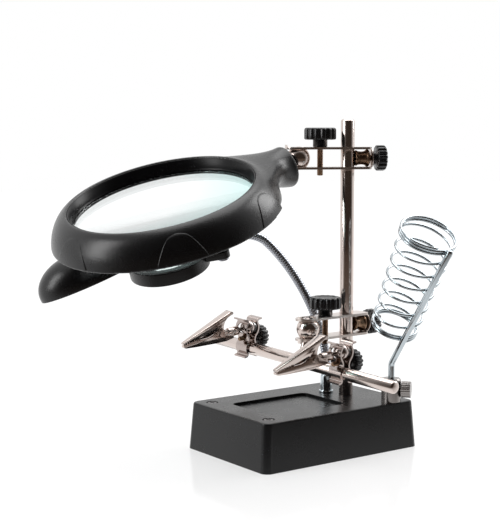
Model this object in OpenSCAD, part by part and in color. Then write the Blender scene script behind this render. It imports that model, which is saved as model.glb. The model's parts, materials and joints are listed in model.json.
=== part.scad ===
// Bench helper: a weighted battery base with a post. The post carries a large
// lit magnifier on a ball joint and, lower down, a cross rod with two sprung
// clips. A gooseneck lamp and a coil rest for a hot iron stand on the base.
// +X runs along the base, +Z up, origin at the centre of the base's underside.

/* [Base] */
// Length of the base at its foot
base_l = 123; // [112:1:150]
// Width of the base at its foot
base_w = 85; // [80:1:110]
// Height of the base
base_h = 30; // [28:1:40]
// How far each side leans in by the top
base_draft = 1.9; // [0.5:0.1:3]
// Radius of the base's upright corners
base_corner_r = 5; // [3.5:0.5:9]
// Wall of the base moulding
base_wall = 2.4; // [1.6:0.1:3]
// Thickness of the base's top
base_top = 4; // [3.2:0.1:5]
// Thickness of the bottom cover
cover_t = 2.4; // [2:0.1:3]
// Length of the parts tray in the top
tray_l = 60; // [30:1:64]
// Width of the parts tray in the top
tray_w = 43; // [25:1:50]
// Depth of the parts tray
tray_depth = 1.7; // [0.6:0.1:2.2]
// Diameter of a case screw's head
case_screw_head_d = 7; // [5:0.1:8]

/* [Post] */
// Diameter of the post
post_d = 9; // [8:0.1:10]
// Height of the post above the base
post_len = 180; // [160:1:220]
// Distance of the post from the base's middle, along the base
post_x = 36; // [34:0.5:40]

/* [Post clamps] */
// Distance from the post to the ball that a clamp holds
arm_len = 32.5; // [32:0.1:36]
// Width of a clamp plate
plate_w = 13; // [12.5:0.1:15]
// Thickness of a clamp plate
plate_t = 1.5; // [1.2:0.1:2]
// Clear gap between a clamp's two plates
plate_gap = 11.3; // [10.8:0.1:12]
// Diameter of the balls in the post clamps
ball_d = 15.2; // [14.6:0.1:16]
// Diameter of the clamp screws
screw_d = 4; // [3:0.1:4.4]
// Diameter of a squeeze knob
squeeze_knob_d = 20.5; // [18:0.1:21]
// Height of a squeeze knob's fluted head
squeeze_knob_h = 7.7; // [5:0.1:10]
// Diameter of a post knob
post_knob_d = 16.5; // [14:0.1:17]
// Height of the upper clamp's middle
upper_z = 185; // [170:0.5:190]
// Direction of the upper clamp's ball, seen from above
upper_dir = 154; // [145:1:165]
// Height of the lower clamp's middle
lower_z = 76.5; // [74:0.5:90]
// Direction of the lower clamp's ball, seen from above
lower_dir = 181.5; // [179:0.5:190]

/* [Magnifier] */
// Inner radius of the magnifier's opening
lens_open_r = 57.7; // [56:0.1:60]
// Outer radius of the magnifier's housing
head_r = 72; // [70:0.1:74]
// Height of the magnifier's housing
head_h = 19.5; // [18.5:0.5:22]
// Distance from the ball to the lens's axis
head_reach = 102; // [100:0.5:106]
// Height of the housing's rim above the ball
head_rise = 14.5; // [13:0.5:16]
// Heading of the magnifier's neck
head_yaw = -4.1; // [-10:0.2:5]
// Tilt of the magnifier along its neck
head_pitch = -18.7; // [-22:0.5:-16]
// Roll of the magnifier about its neck
head_roll = 8.7; // [4:0.2:12]
// Thickness of the main lens at its middle
lens_t = 10; // [8:0.1:11]
// Thickness of the main lens at its edge
lens_edge_t = 4; // [3:0.1:5]
// Outer radius of the auxiliary lens ring
aux_r = 23.5; // [20:0.1:24]

/* [Cross rod] */
// Diameter of the cross rod
rod_d = 8; // [7:0.1:8.4]
// Length of the cross rod
rod_len = 155; // [140:1:170]
// Distance from the lower ball to the rod's axis
rod_drop = 21.5; // [20:0.1:24]
// Fore and aft tilt of the rod assembly
rod_tilt = 4.6; // [0:0.1:8]
// Lean of the rod's stem
rod_lean = 13.6; // [10:0.1:16]
// Heading of the rod assembly
rod_yaw = 10.1; // [5:0.1:15]
// Place of the far clip clamp along the rod
left_at = 49.5; // [44:0.5:60]
// Place of the near clip clamp along the rod
right_at = -33; // [-60:0.5:-30]

/* [Clips] */
// Diameter of a clip's ball
clip_ball_d = 10; // [9.6:0.1:10.2]
// Distance from the rod's axis to a clip's ball
clip_drop = 13; // [12.6:0.1:14]
// Length of a clip from its ball to its tip
clip_len = 51; // [48:0.5:54]
// Width of a clip at its pivot
clip_w = 8.6; // [8:0.1:10]
// How far a clip's nose points down
clip_nose_down = 9; // [4:0.5:12]
// Number of teeth along a jaw
clip_teeth = 9; // [5:1:12]

/* [Gooseneck lamp] */
// Diameter of the gooseneck hose
hose_d = 6; // [5:0.1:7]
// Length of the lamp shade
shade_l = 62; // [58:0.5:66]
// Width of the lamp shade
shade_w = 40; // [34:0.5:44]

/* [Iron rest] */
// Diameter of the iron rest's rod
stand_rod_d = 4; // [3.4:0.1:4.4]
// Wire diameter of the iron rest's coil
coil_wire_d = 1.7; // [1.4:0.1:2]
// Mean radius of the coil's mouth
coil_top_r = 17.8; // [15:0.1:19]
// Mean radius of the coil's small end
coil_bottom_r = 14.6; // [12:0.1:16]
// Length of the coil
coil_len = 75.4; // [66:0.1:80]
// Number of turns in the coil
coil_turns = 10; // [7:1:12]
// Lean of the iron rest from upright
stand_lean = 34; // [28:0.5:40]

/* [Hidden] */
$fn = 48;
hull_fn = 32;

// Clearances
run_gap = 0.05;     // radial, between a shaft and the bore it turns or slides in
ball_gap = 0.15;    // between a ball and its seat
loose_gap = 0.3;    // between parts that pass or drop in beside each other
eps = 0.01;

plastic = [0.09, 0.09, 0.10];
nickel = [0.80, 0.76, 0.73];
chrome = [0.78, 0.82, 0.86];
brass = [0.72, 0.58, 0.30];
steel = [0.62, 0.63, 0.65];
glassy = [0.80, 0.93, 0.90, 0.5];

plate_z = plate_gap / 2;                       // inner face of a clamp plate
ball_hole_r = sqrt(pow(ball_d / 2, 2) - plate_z * plate_z);
post_top = base_h + post_len;
inner_top = base_h - base_top;                 // underside of the base's top
ballast_h = 9;
ballast_z = inner_top - ballast_h - 0.5;
post_foot = ballast_z + 1.5;
case_screw_x = base_l / 2 - base_draft - 9.6;  // from the middle, toward the tray's end
case_screw_y = base_w / 2 - base_draft - 10.6;
tray_x = -13;
tray_y = -1.5;
hose_x = 30;
hose_y = 13;
socket_x = base_l / 2 - base_draft - 14.5;
socket_y = -(base_w / 2 - base_draft - 6.4);

// ---------------------------------------------------------------- shared shapes

// Flat rectangle with round corners, about the origin
module round_rect(l, w, r) {
    square([l - 2 * r, w], center = true);
    square([l, w - 2 * r], center = true);
    for (x = [-1, 1], y = [-1, 1])
        translate([x * (l / 2 - r), y * (w / 2 - r)]) circle(r);
}

// Drafted block with round corners: foot size, lean of each side, height, top round
module drafted_block(l, w, h, r, lean, round = 1) {
    hull()
        for (x = [-1, 1], y = [-1, 1]) {
            translate([x * (l / 2 - r), y * (w / 2 - r), 0]) cylinder(r = r, h = eps, $fn = hull_fn);
            translate([x * (l / 2 - r - lean * (h - round) / h), y * (w / 2 - r - lean * (h - round) / h), h - round])
                cylinder(r = r, h = eps, $fn = hull_fn);
            translate([x * (l / 2 - r - lean), y * (w / 2 - r - lean), h - 0.3 * round])
                cylinder(r1 = r - 0.25 * round, r2 = r - round, h = 0.3 * round, $fn = hull_fn);
        }
}

// Fluted hand knob on its screw's axis: head on top of a boss, both above z = 0
module fluted_head(d, h, flutes, boss_d, boss_h) {
    cylinder(d = boss_d, h = boss_h + 0.5);
    difference() {
        union() {
            translate([0, 0, boss_h]) cylinder(d1 = d - 1.2, d2 = d, h = 0.8);
            translate([0, 0, boss_h + 0.8]) cylinder(d = d, h = h - 1.8);
            translate([0, 0, boss_h + h - 1]) cylinder(d1 = d, d2 = d - 2, h = 1);
        }
        for (i = [0 : flutes - 1])
            rotate([0, 0, i * 360 / flutes])
                translate([d / 2 + 0.35, 0, boss_h - 1]) cylinder(d = 2.2, h = h + 2, $fn = 16);
        translate([0, 0, boss_h + h - 0.8]) cylinder(d = d * 0.62, h = 1);
    }
}

// Point on a cubic curve
function bez(p, t) = pow(1 - t, 3) * p[0] + 3 * t * pow(1 - t, 2) * p[1]
    + 3 * t * t * (1 - t) * p[2] + t * t * t * p[3];
function unit(v) = v / norm(v);

// Tube swept along points; ref is a direction that no part of the path runs along
module swept_tube(pts, r, sides, ref) {
    n = len(pts);
    rings = [for (i = [0 : n - 1])
        let (t = unit(pts[min(i + 1, n - 1)] - pts[max(i - 1, 0)]),
             a = unit(cross(ref, t)), b = cross(t, a))
        for (k = [0 : sides - 1])
            pts[i] + r * (cos(360 * k / sides) * a + sin(360 * k / sides) * b)];
    faces = concat(
        [[for (k = [sides - 1 : -1 : 0]) k]],
        [for (i = [0 : n - 2], k = [0 : sides - 1])
            let (k2 = (k + 1) % sides)
            [i * sides + k, i * sides + k2, (i + 1) * sides + k2, (i + 1) * sides + k]],
        [[for (k = [0 : sides - 1]) (n - 1) * sides + k]]);
    polyhedron(rings, faces, convexity = 6);
}

// Closed solid through rings of as many points each
module loft(rings) {
    n = len(rings);
    m = len(rings[0]);
    faces = concat(
        [[for (k = [m - 1 : -1 : 0]) k]],
        [for (i = [0 : n - 2], k = [0 : m - 1])
            let (k2 = (k + 1) % m)
            [i * m + k, i * m + k2, (i + 1) * m + k2, (i + 1) * m + k]],
        [[for (k = [0 : m - 1]) (n - 1) * m + k]]);
    polyhedron([for (q = rings) each q], faces, convexity = 6);
}

// ---------------------------------------------------------------- base

module case_screw_places() {
    for (s = [-1, 1]) translate([-case_screw_x, s * case_screw_y, 0]) children();
}

module base_shell() color(plastic) difference() {
    drafted_block(base_l, base_w, base_h, base_corner_r, base_draft, 1.2);
    // Hollow under the top
    difference() {
        translate([0, 0, -eps])
            drafted_block(base_l - 2 * base_wall, base_w - 2 * base_wall, inner_top + eps,
                base_corner_r - base_wall + 1, base_draft, 0.6);
        // Screw pillars
        case_screw_places() translate([0, 0, cover_t + loose_gap]) cylinder(d = 8, h = base_h);
        // Boss for the iron rest's socket and the hose's ferrule
        translate([socket_x, socket_y, inner_top - 5]) cylinder(d = 11, h = 6);
        translate([hose_x, hose_y, inner_top - 5]) cylinder(d = 10, h = 6);
    }
    // Parts tray
    translate([tray_x, tray_y, base_h - tray_depth])
        linear_extrude(tray_depth + 1) round_rect(tray_l, tray_w, 5);
    // Case screws drop into counterbores
    case_screw_places() {
        translate([0, 0, base_h - 1.4]) cylinder(d = case_screw_head_d + 2 * loose_gap, h = 3);
        translate([0, 0, -1]) cylinder(d = 3, h = base_h + 2);
    }
    translate([post_x, 0, -1]) cylinder(r = post_d / 2 + run_gap, h = base_h + 2);
    translate([hose_x, hose_y, inner_top - 6]) cylinder(d = hose_d, h = base_top + 8);
    translate([socket_x, socket_y, inner_top - 6]) cylinder(d = 5, h = base_top + 8);
    // Window for the rocker switch in the far long side
    translate([-20, base_w / 2, 15]) cube([13.2, 20, 8.8], center = true);
}

cover_inset = base_wall + loose_gap;

module base_cover() color(plastic) difference() {
    linear_extrude(cover_t)
        round_rect(base_l - 2 * cover_inset, base_w - 2 * cover_inset, base_corner_r - base_wall + 0.6);
    case_screw_places() translate([0, 0, -1]) cylinder(d = 3, h = cover_t + 2);
    case_screw_places() translate([0, 0, -1]) cylinder(d = 6, h = 2);
    // Opening over the battery bay
    translate([door_x, 0, -1]) linear_extrude(cover_t + 2) square([door_l, door_w], center = true);
    foot_places() translate([0, 0, -1]) cylinder(d = foot_d + 0.2, h = 1 + foot_t);
}

foot_d = 9;
foot_t = 1.2;
module foot_places() {
    for (x = [-1, 1], y = [-1, 1])
        translate([x * (base_l / 2 - base_wall - 17), y * (base_w / 2 - base_wall - 8), 0]) children();
}

module base_feet() color([0.16, 0.16, 0.17]) foot_places() cylinder(d = foot_d, h = foot_t);

// Cross-slotted screw from the top down into the cover
module case_screws() color(steel) case_screw_places() {
    difference() {
        translate([0, 0, base_h - 1.4]) cylinder(d1 = case_screw_head_d, d2 = case_screw_head_d - 1.2, h = 1.2);
        for (a = [0, 90]) rotate([0, 0, a])
            translate([0, 0, base_h]) cube([case_screw_head_d * 0.6, 1, 1.4], center = true);
    }
    translate([0, 0, cover_t + 1]) cylinder(d = 2.9, h = base_h - 1.4 - cover_t - 1);
}

// Cast weight under the top, cleared round the pillars and bosses
module ballast() color([0.25, 0.25, 0.26]) difference() {
    translate([0, 0, ballast_z])
        linear_extrude(ballast_h)
            round_rect(base_l - 2 * base_wall - 2 * base_draft - 2, base_w - 2 * base_wall - 2 * base_draft - 2, 4);
    case_screw_places() cylinder(d = 8.8, h = base_h);
    translate([socket_x, socket_y, 0]) cylinder(d = 12, h = base_h);
    translate([hose_x, hose_y, 0]) cylinder(d = 11, h = base_h);
    translate([post_x, 0, post_foot]) cylinder(r = post_d / 2 + run_gap, h = base_h);
    // Room for the switch
    translate([-20, base_w / 2, 15]) cube([16, 28, 40], center = true);
}

door_x = -12;
door_l = 62;
door_w = 42;
cell_d = 10.3;
cell_l = 44;
cell_z = cover_t + cell_d / 2 + 0.3;

module battery_door() color(plastic) difference() {
    translate([door_x, 0, 0]) linear_extrude(cover_t)
        round_rect(door_l - 2 * loose_gap, door_w - 2 * loose_gap, 1.5);
    // Finger ribs
    for (i = [0 : 4])
        translate([door_x + door_l / 2 - 8 - i * 2.2, 0, 0]) cube([1, 22, 1.2], center = true);
}

module batteries() color([0.30, 0.42, 0.55])
    for (i = [-1, 0, 1])
        translate([door_x - cell_l / 2, i * (cell_d + 0.8), cell_z]) rotate([0, 90, 0]) {
            cylinder(d = cell_d, h = cell_l - 1);
            translate([0, 0, cell_l - 1]) cylinder(d = 3.6, h = 1);
        }

module battery_contacts() color(brass)
    for (s = [-1, 1])
        translate([door_x + s * (cell_l / 2 + 0.3), 0, cell_z])
            cube([0.5, 3 * cell_d, 7], center = true);

switch_y = base_w / 2 - base_draft * 0.5 - 0.2;
module rocker_switch() color([0.05, 0.05, 0.05])
    translate([-20, switch_y, 15]) rotate([90, 0, 0]) intersection() {
        linear_extrude(9) square([12.4, 8], center = true);
        translate([0, 0, 12.5]) rotate([90, 0, 0]) cylinder(r = 13.2, h = 12, center = true, $fn = 96);
    }

// ---------------------------------------------------------------- post and lamp

module post() color(nickel) translate([post_x, 0, 0]) {
    translate([0, 0, post_foot]) cylinder(d = post_d, h = post_top - post_foot - 1.4);
    translate([0, 0, post_top - 1.4]) cylinder(d1 = post_d, d2 = post_d - 2.6, h = 1.4);
}

ferrule_h = 12;
module hose_ferrule() color(chrome) translate([hose_x, hose_y, base_h]) difference() {
    union() {
        cylinder(d = hose_d + 1.6, h = ferrule_h - 1);
        translate([0, 0, ferrule_h - 1]) cylinder(d1 = hose_d + 1.6, d2 = hose_d + 0.8, h = 1);
        cylinder(d = hose_d + 3.4, h = 1.4);
    }
    translate([0, 0, -1]) cylinder(d = hose_d, h = ferrule_h + 2);
}

// The hose lies in one upright plane from its ferrule to the lamp's collar
lamp_x = -85;
lamp_y = 73;
lamp_z = 118.7;
lamp_pitch = 22;
hose_run = norm([lamp_x - hose_x, lamp_y - hose_y]);
hose_dir = [lamp_x - hose_x, lamp_y - hose_y, 0] / hose_run;
hose_side = [-hose_dir[1], hose_dir[0], 0];
hose_rise = [[0, base_h + 17], [0, 72], [18, 110], [41, 131]];
hose_end = [hose_run - 6 * cos(lamp_pitch), lamp_z + 6 * sin(lamp_pitch)];
hose_fall = [[41, 131], [55, 142.5], hose_end + 26 * [-cos(lamp_pitch), sin(lamp_pitch)], hose_end];
hose_steps = 16;
function hose_point(q) = [hose_x, hose_y, q[1]] + q[0] * hose_dir;
hose_path = concat([hose_point([0, base_h - base_top])],
    [for (i = [0 : 2 * hose_steps])
        hose_point(i <= hose_steps ? bez(hose_rise, i / hose_steps)
            : bez(hose_fall, (i - hose_steps) / hose_steps))],
    [hose_point([hose_run - 0.5 * cos(lamp_pitch), lamp_z + 0.5 * sin(lamp_pitch)])]);

module gooseneck_hose() color(steel) swept_tube(hose_path, hose_d / 2 - 0.02, 12, hose_side);

// Lamp frame: origin where the hose enters, +X along the shade, +Z out of its back
lamp_yaw = atan2(hose_dir[1], hose_dir[0]);
module in_lamp() translate([lamp_x, lamp_y, lamp_z]) rotate([0, lamp_pitch, lamp_yaw]) children();

shade_h = 19;
// Half of a leaf-shaped dome, closed at the rim plane z = rim
module leaf_dome(l, w, h, rim) {
    intersection() {
        hull() {
            translate([l * 0.56, 0, 0]) scale([1, w / (l * 0.86), h / (l * 0.43)]) sphere(r = l * 0.43, $fn = 40);
            translate([4, 0, h * 0.12]) sphere(r = 6, $fn = 24);
        }
        translate([0, -w, rim]) cube([l * 1.2, 2 * w, h * 2]);
    }
}

shade_rim = -3;
module lamp_cavity(gap) translate([2.2 + gap, 0, -1.2])
    leaf_dome(shade_l - 4.6 - 2 * gap, shade_w - 4.6 - 2 * gap, shade_h - 2.4 - gap, shade_rim - 1);

module lamp_shade() color(plastic) in_lamp() {
    difference() {
        union() {
            leaf_dome(shade_l, shade_w, shade_h, shade_rim);
            translate([-4, 0, 0]) rotate([0, 90, 0]) cylinder(d1 = hose_d + 3, d2 = hose_d + 6, h = 10);
        }
        lamp_cavity(0);
        translate([-5, 0, 0]) rotate([0, 90, 0]) cylinder(d = hose_d, h = 12);
    }
}

window_t = 1.2;
module lamp_window() color(glassy) in_lamp() intersection() {
    lamp_cavity(0.05);
    translate([0, -shade_w, shade_rim + 0.6]) cube([shade_l, 2 * shade_w, window_t]);
}

module led_board() color([0.85, 0.86, 0.84]) in_lamp() {
    translate([shade_l * 0.56, 0, shade_rim + 4.2]) {
        translate([-17, -9, 0]) cube([34, 18, 1.2]);
        for (i = [-1, 0, 1]) translate([i * 11, 0, -1.6]) cylinder(d = 5, h = 1.7, $fn = 24);
    }
    // Posts up to the shade
    intersection() {
        lamp_cavity(0.04);
        for (i = [-1, 1]) translate([shade_l * 0.56 + i * 13, 0, shade_rim + 5.3]) cylinder(d = 4, h = 20, $fn = 24);
    }
}

// ---------------------------------------------------------------- post clamps

// Clamp frame: origin on the post's axis, midway between the plates,
// with the ball on the -X side
module on_upper() translate([post_x, 0, upper_z]) rotate([0, 0, upper_dir - 180]) children();
module on_lower() translate([post_x, 0, lower_z]) rotate([0, 0, lower_dir - 180]) children();

plate_tip = arm_len + 2.3;        // centre of the plate's round end, beyond the ball
squeeze_at = arm_len - 14.3;      // screw between the ball and the post
block_len = 9.2;
block_at = post_d / 2 + run_gap;
plate_end = block_at + block_len + 1.2;
washer_t = 1.4;
post_knob_at = plate_end + 0.4 + washer_t;

module clamp_plate(screw_clear) color(nickel) difference() {
    union() {
        translate([0, 0, plate_z]) linear_extrude(plate_t) {
            translate([-plate_tip, 0]) circle(d = plate_w);
            translate([-plate_tip, -plate_w / 2]) square([plate_tip + plate_end - 3, plate_w]);
            translate([plate_end - 3, -plate_w / 2 + 3]) square([3, plate_w - 6]);
            for (s = [-1, 1]) translate([plate_end - 3, s * (plate_w / 2 - 3)]) circle(3);
        }
        // Lip curled outward at the ball's end
        intersection() {
            translate([-plate_tip, 0, plate_z]) cylinder(d = plate_w, h = 6);
            translate([-plate_tip - plate_w / 2 + 2.6, 0, plate_z + plate_t + 1.9]) rotate([90, 0, 0])
                rotate_extrude(angle = 360) translate([1.9, 0]) square([plate_t, plate_w], center = false);
            translate([-plate_tip - plate_w / 2 - 3, -plate_w, plate_z]) cube([5.6, 2 * plate_w, 3]);
        }
    }
    translate([0, 0, plate_z - 1]) cylinder(r = post_d / 2 + run_gap, h = plate_t + 3);
    translate([-arm_len, 0, 0]) sphere(r = ball_d / 2 + ball_gap, $fn = 64);
    translate([-arm_len, 0, plate_z - 1]) cylinder(r = ball_hole_r, h = plate_t + 3);
    translate([-squeeze_at, 0, plate_z - 1]) cylinder(r = screw_d / 2 + screw_clear, h = plate_t + 3);
}

module post_block() color(chrome) difference() {
    translate([block_at, 0, 0]) rotate([0, 90, 0]) difference() {
        intersection() {
            cylinder(r = plate_z + 0.35, h = block_len);
            translate([-plate_z, -20, -1]) cube([2 * plate_z, 40, block_len + 2]);
        }
        // Waist of the spool
        translate([0, 0, block_len / 2]) rotate_extrude()
            translate([plate_z + 1.2, 0]) circle(r = 2.4, $fn = 32);
        translate([0, 0, -1]) cylinder(r = screw_d / 2 + run_gap, h = block_len + 2);
    }
    translate([0, 0, -20]) cylinder(r = post_d / 2 + run_gap, h = 40);
}

module post_washer() color(chrome) translate([plate_end + 0.2, 0, 0]) rotate([0, 90, 0])
    rotate_extrude() polygon([
        [screw_d / 2 + run_gap, 0], [6.2, 0], [6.7, 0.5], [5.6, 1], [4.2, washer_t],
        [screw_d / 2 + run_gap, washer_t]]);

module post_knob() color(plastic) translate([post_knob_at, 0, 0]) rotate([0, 90, 0]) {
    fluted_head(post_knob_d, 6.4, 15, 9, 2);
    translate([0, 0, block_at + 0.4 - post_knob_at]) cylinder(d = screw_d, h = post_knob_at - block_at);
}

module squeeze_knob() color(plastic) translate([-squeeze_at, 0, 0]) {
    translate([0, 0, plate_z + plate_t + 0.1]) fluted_head(squeeze_knob_d, squeeze_knob_h, 18, 9.4, 4.6);
    translate([0, 0, -plate_z - plate_t - 4]) cylinder(d = screw_d, h = 2 * plate_z + 2 * plate_t + 4.5);
}

module clamp_ball() color(nickel) translate([-arm_len, 0, 0]) sphere(d = ball_d, $fn = 64);

module upper_top_plate() on_upper() clamp_plate(0.25);
module upper_bottom_plate() on_upper() mirror([0, 0, 1]) clamp_plate(run_gap);
module upper_post_block() on_upper() post_block();
module upper_post_washer() on_upper() post_washer();
module upper_post_knob() on_upper() post_knob();
module upper_squeeze_knob() on_upper() squeeze_knob();
module upper_ball() on_upper() clamp_ball();
module lower_top_plate() on_lower() clamp_plate(0.25);
module lower_bottom_plate() on_lower() mirror([0, 0, 1]) clamp_plate(run_gap);
module lower_post_block() on_lower() post_block();
module lower_post_washer() on_lower() post_washer();
module lower_post_knob() on_lower() post_knob();
module lower_squeeze_knob() on_lower() squeeze_knob();
module lower_ball() on_lower() clamp_ball();

// ---------------------------------------------------------------- magnifier

upper_ball_at = [post_x + arm_len * cos(upper_dir), arm_len * sin(upper_dir), upper_z];
// Ball frame: +X runs up the neck from the lens to the ball
module at_head_ball() translate(upper_ball_at) rotate([head_roll, head_pitch, head_yaw]) children();
// Head frame: origin on the lens's axis in the plane of the rim
module in_head() at_head_ball() translate([-head_reach, 0, head_rise]) children();

// Outside of the housing, from the rim down: a smooth bulge that tucks in at the foot
side_curve = [[lens_open_r + 1.9, 0], [head_r - 5, -0.1 * head_h], [head_r + 0.8, -0.5 * head_h], [head_r - 0.5, -head_h + 0.9]];
side_points = [for (i = [0 : 10]) bez(side_curve, i / 10)];
inner_r = lens_open_r - 2.6;      // seat that the lens lies on
lens_r = lens_open_r - 0.5;
lens_top_z = -8.4;                // top of the lens's edge
lens_low_z = lens_top_z - lens_edge_t;

module ring_body() rotate_extrude($fn = 120) polygon(concat(
    [[lens_open_r + 0.2, -0.7], [lens_open_r + 0.7, -0.15]],
    side_points,
    [[head_r - 1.6, -head_h], [head_r - 3.0, -head_h],
     [head_r - 3.0, lens_low_z - 2.2], [lens_open_r + 0.2, lens_low_z - 2.2]]));

neck_end = head_reach - 9.7;
neck_r = 13.5;
neck_z = -head_rise;              // the neck is centred on the ball's height
stud_d = 4.6;
// Upright slice of the neck: place along it, width, height, corner radius, middle's height
module neck_cut(x, w, h, r, z) translate([x, -w / 2 + r, z]) rotate([0, 90, 0]) linear_extrude(0.1)
    hull() for (s = [-1, 1], q = [0, 1]) translate([s * (h / 2 - r), q * (w - 2 * r)]) circle(r = r, $fn = 24);
// The neck flares out of the ring's side and ends round, below the ball's middle
module neck() {
    hull() {
        translate([neck_end - 1.6, 0, neck_z - 2]) rotate([0, 90, 0]) cylinder(r1 = neck_r, r2 = neck_r - 1, h = 1.6, $fn = 32);
        neck_cut(head_r + 6, 2 * neck_r + 3, head_h + 3.5, 10.5, -head_h / 2 - 3);
    }
    hull() {
        neck_cut(head_r + 6.1, 2 * neck_r + 3, head_h + 3.5, 10.5, -head_h / 2 - 3);
        neck_cut(head_r - 7, 60, head_h - 3.4, 6, -head_h / 2);
    }
}

// Arched thumb pads round the side, raised a little on the moulding
pad_up = 0.4;
pad_points = [for (q = side_points) if (q[1] < -1.5) q];
module thumb_pads() intersection() {
    rotate_extrude($fn = 120) polygon(concat(
        [for (q = pad_points) [q[0] + pad_up, q[1]]],
        [for (i = [len(pad_points) - 1 : -1 : 0]) [pad_points[i][0] - 0.8, pad_points[i][1]]]));
    for (a = [60, 120, 180, 240, 300]) rotate([0, 0, a]) translate([0, 0, -head_h + 1.5])
        rotate([0, 90, 0]) cylinder(r = 14.5, h = 90, $fn = 64);
}

module head_housing() color(plastic) in_head() difference() {
    union() {
        ring_body();
        thumb_pads();
        difference() {
            neck();
            translate([0, 0, -head_h - 1]) cylinder(r = lens_open_r + 1, h = head_h + 2, $fn = 120);
            translate([0, 0, -head_h - 1]) cylinder(r = head_r - 2.5, h = head_h + lens_low_z - 0.9, $fn = 120);
        }
    }
    translate([neck_end - 14, 0, neck_z]) rotate([0, 90, 0]) cylinder(d = stud_d, h = 30);
    // Dish that turns round the ball clear of the clamp's curled tips
    translate([head_reach, 0, neck_z]) sphere(r = 13.4, $fn = 64);
}

// Glossy inner ring that holds the lens down from above
module head_bezel() color([0.02, 0.02, 0.02]) in_head() rotate_extrude($fn = 120) polygon([
    [lens_open_r + 0.15, -0.8], [lens_open_r - 0.3, -0.9], [lens_open_r - 1.6, lens_top_z + 1.4],
    [lens_open_r - 2.2, lens_top_z + 0.35], [lens_open_r + 0.15, lens_top_z + 0.05]]);

// Half section of a lens, from its axis out: radius, thickness at middle and edge
function lens_section(r, t, edge_t, steps) = let (
    sag = (t - edge_t) / 2,
    curve_r = (r * r + sag * sag) / (2 * sag))
    concat(
        [for (i = [0 : steps]) let (x = r * i / steps)
            [x, t / 2 - curve_r + sqrt(curve_r * curve_r - x * x)]],
        [for (i = [steps : -1 : 0]) let (x = r * i / steps)
            [x, curve_r - t / 2 - sqrt(curve_r * curve_r - x * x)]]);

module main_lens() color(glassy) in_head()
    translate([0, 0, lens_low_z + lens_edge_t / 2])
        rotate_extrude($fn = 120) polygon(lens_section(lens_r, lens_t, lens_edge_t, 8));

// Lower ring, screwed up from below, carries the lens
module head_bottom_ring() color(plastic) in_head() difference() {
    rotate_extrude($fn = 120) polygon([
        [inner_r, lens_low_z - 0.35], [lens_open_r + 0.15, lens_low_z - 0.05],
        [lens_open_r + 0.15, lens_low_z - 2.25], [head_r - 3.1, lens_low_z - 2.25],
        [head_r - 3.1, -head_h], [head_r - 4.2, -head_h - 0.9], [inner_r + 1.2, -head_h - 0.9],
        [inner_r, -head_h + 0.4]]);
    in_aux_pivot() translate([0, 0, -head_h - 4]) cylinder(r = aux_pin_r + run_gap, h = 12);
}

module head_stud() color(nickel) in_head() {
    // Shank from inside the neck to the ball
    difference() {
        translate([neck_end - 14 + eps, 0, neck_z]) rotate([0, 90, 0]) cylinder(d = stud_d, h = 22);
        translate([head_reach, 0, neck_z]) sphere(r = ball_d / 2 + 0.1, $fn = 64);
    }
}

aux_pin_r = 1.6;
aux_pivot = [-2, -62];
aux_centre = [-26, -41];
module in_aux_pivot() translate([aux_pivot[0], aux_pivot[1], 0]) children();
aux_top = -head_h - 2.9;
aux_h = 7.6;

module aux_ring() color(plastic) in_head() difference() {
    union() {
        translate([aux_centre[0], aux_centre[1], aux_top - aux_h]) cylinder(r = aux_r, h = aux_h, $fn = 72);
        // Swing arm to the pivot
        hull() {
            translate([aux_pivot[0], aux_pivot[1], aux_top - 4.4]) cylinder(r = 4.2, h = 4.4, $fn = hull_fn);
            translate([aux_centre[0] + aux_r * 0.66, aux_centre[1] - aux_r * 0.58, aux_top - 4.4])
                cylinder(r = 4.8, h = 4.4, $fn = hull_fn);
        }
    }
    translate([aux_centre[0], aux_centre[1], aux_top - aux_h - 1]) cylinder(r = aux_r - 3.2, h = aux_h + 2, $fn = 72);
    translate([aux_centre[0], aux_centre[1], aux_top - 4.4]) cylinder(r = aux_r - 1.8, h = 2.6, $fn = 72);
    in_aux_pivot() translate([0, 0, aux_top - 8]) cylinder(r = aux_pin_r + run_gap, h = 12);
}

module aux_lens() color(glassy) in_head() translate([aux_centre[0], aux_centre[1], aux_top - 3.1])
    rotate_extrude($fn = 72) polygon(lens_section(aux_r - 1.85, 5.6, 1.6, 6));

module aux_pin() color(steel) in_head() in_aux_pivot() {
    translate([0, 0, aux_top - 5]) cylinder(r = aux_pin_r, h = 10);
    translate([0, 0, aux_top - 5.7]) cylinder(r = 3, h = 1.25);
}

// ---------------------------------------------------------------- cross rod

lower_ball_at = [post_x + arm_len * cos(lower_dir), arm_len * sin(lower_dir), lower_z];
// Rod frame: origin at the lower ball, +Y along the rod to the far side
module at_rod_ball() translate(lower_ball_at) rotate([rod_tilt, rod_lean, rod_yaw]) children();
module in_rod() at_rod_ball() translate([0, 0, -rod_drop]) children();

module cross_rod() color(nickel) in_rod() rotate([90, 0, 0]) {
    cylinder(d = rod_d, h = rod_len - 2, center = true);
    for (s = [-1, 1]) translate([0, 0, s * (rod_len / 2 - 1)]) mirror([0, 0, s < 0 ? 1 : 0])
        translate([0, 0, 0]) cylinder(d1 = rod_d, d2 = rod_d - 1.6, h = 1);
}

module rod_stem() color(nickel) in_rod() difference() {
    union() {
        cylinder(d = stud_d, h = rod_drop - ball_d / 2 + 1);
        rotate([90, 0, 0]) cylinder(d = rod_d + 3.2, h = 6.4, center = true);
        translate([0, 0, rod_d / 2]) cylinder(d1 = 8, d2 = stud_d, h = 3);
    }
    rotate([90, 0, 0]) cylinder(d = rod_d + 0.04, h = 20, center = true);
    translate([0, 0, rod_drop]) sphere(r = ball_d / 2 + 0.1, $fn = 64);
}

// ---------------------------------------------------------------- clip clamps

// Clamp frame on the rod: origin on the rod's axis, upright, ball above
module on_rod(at) in_rod() translate([0, at, 0]) rotate([0, -rod_lean, 0]) children();

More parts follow.
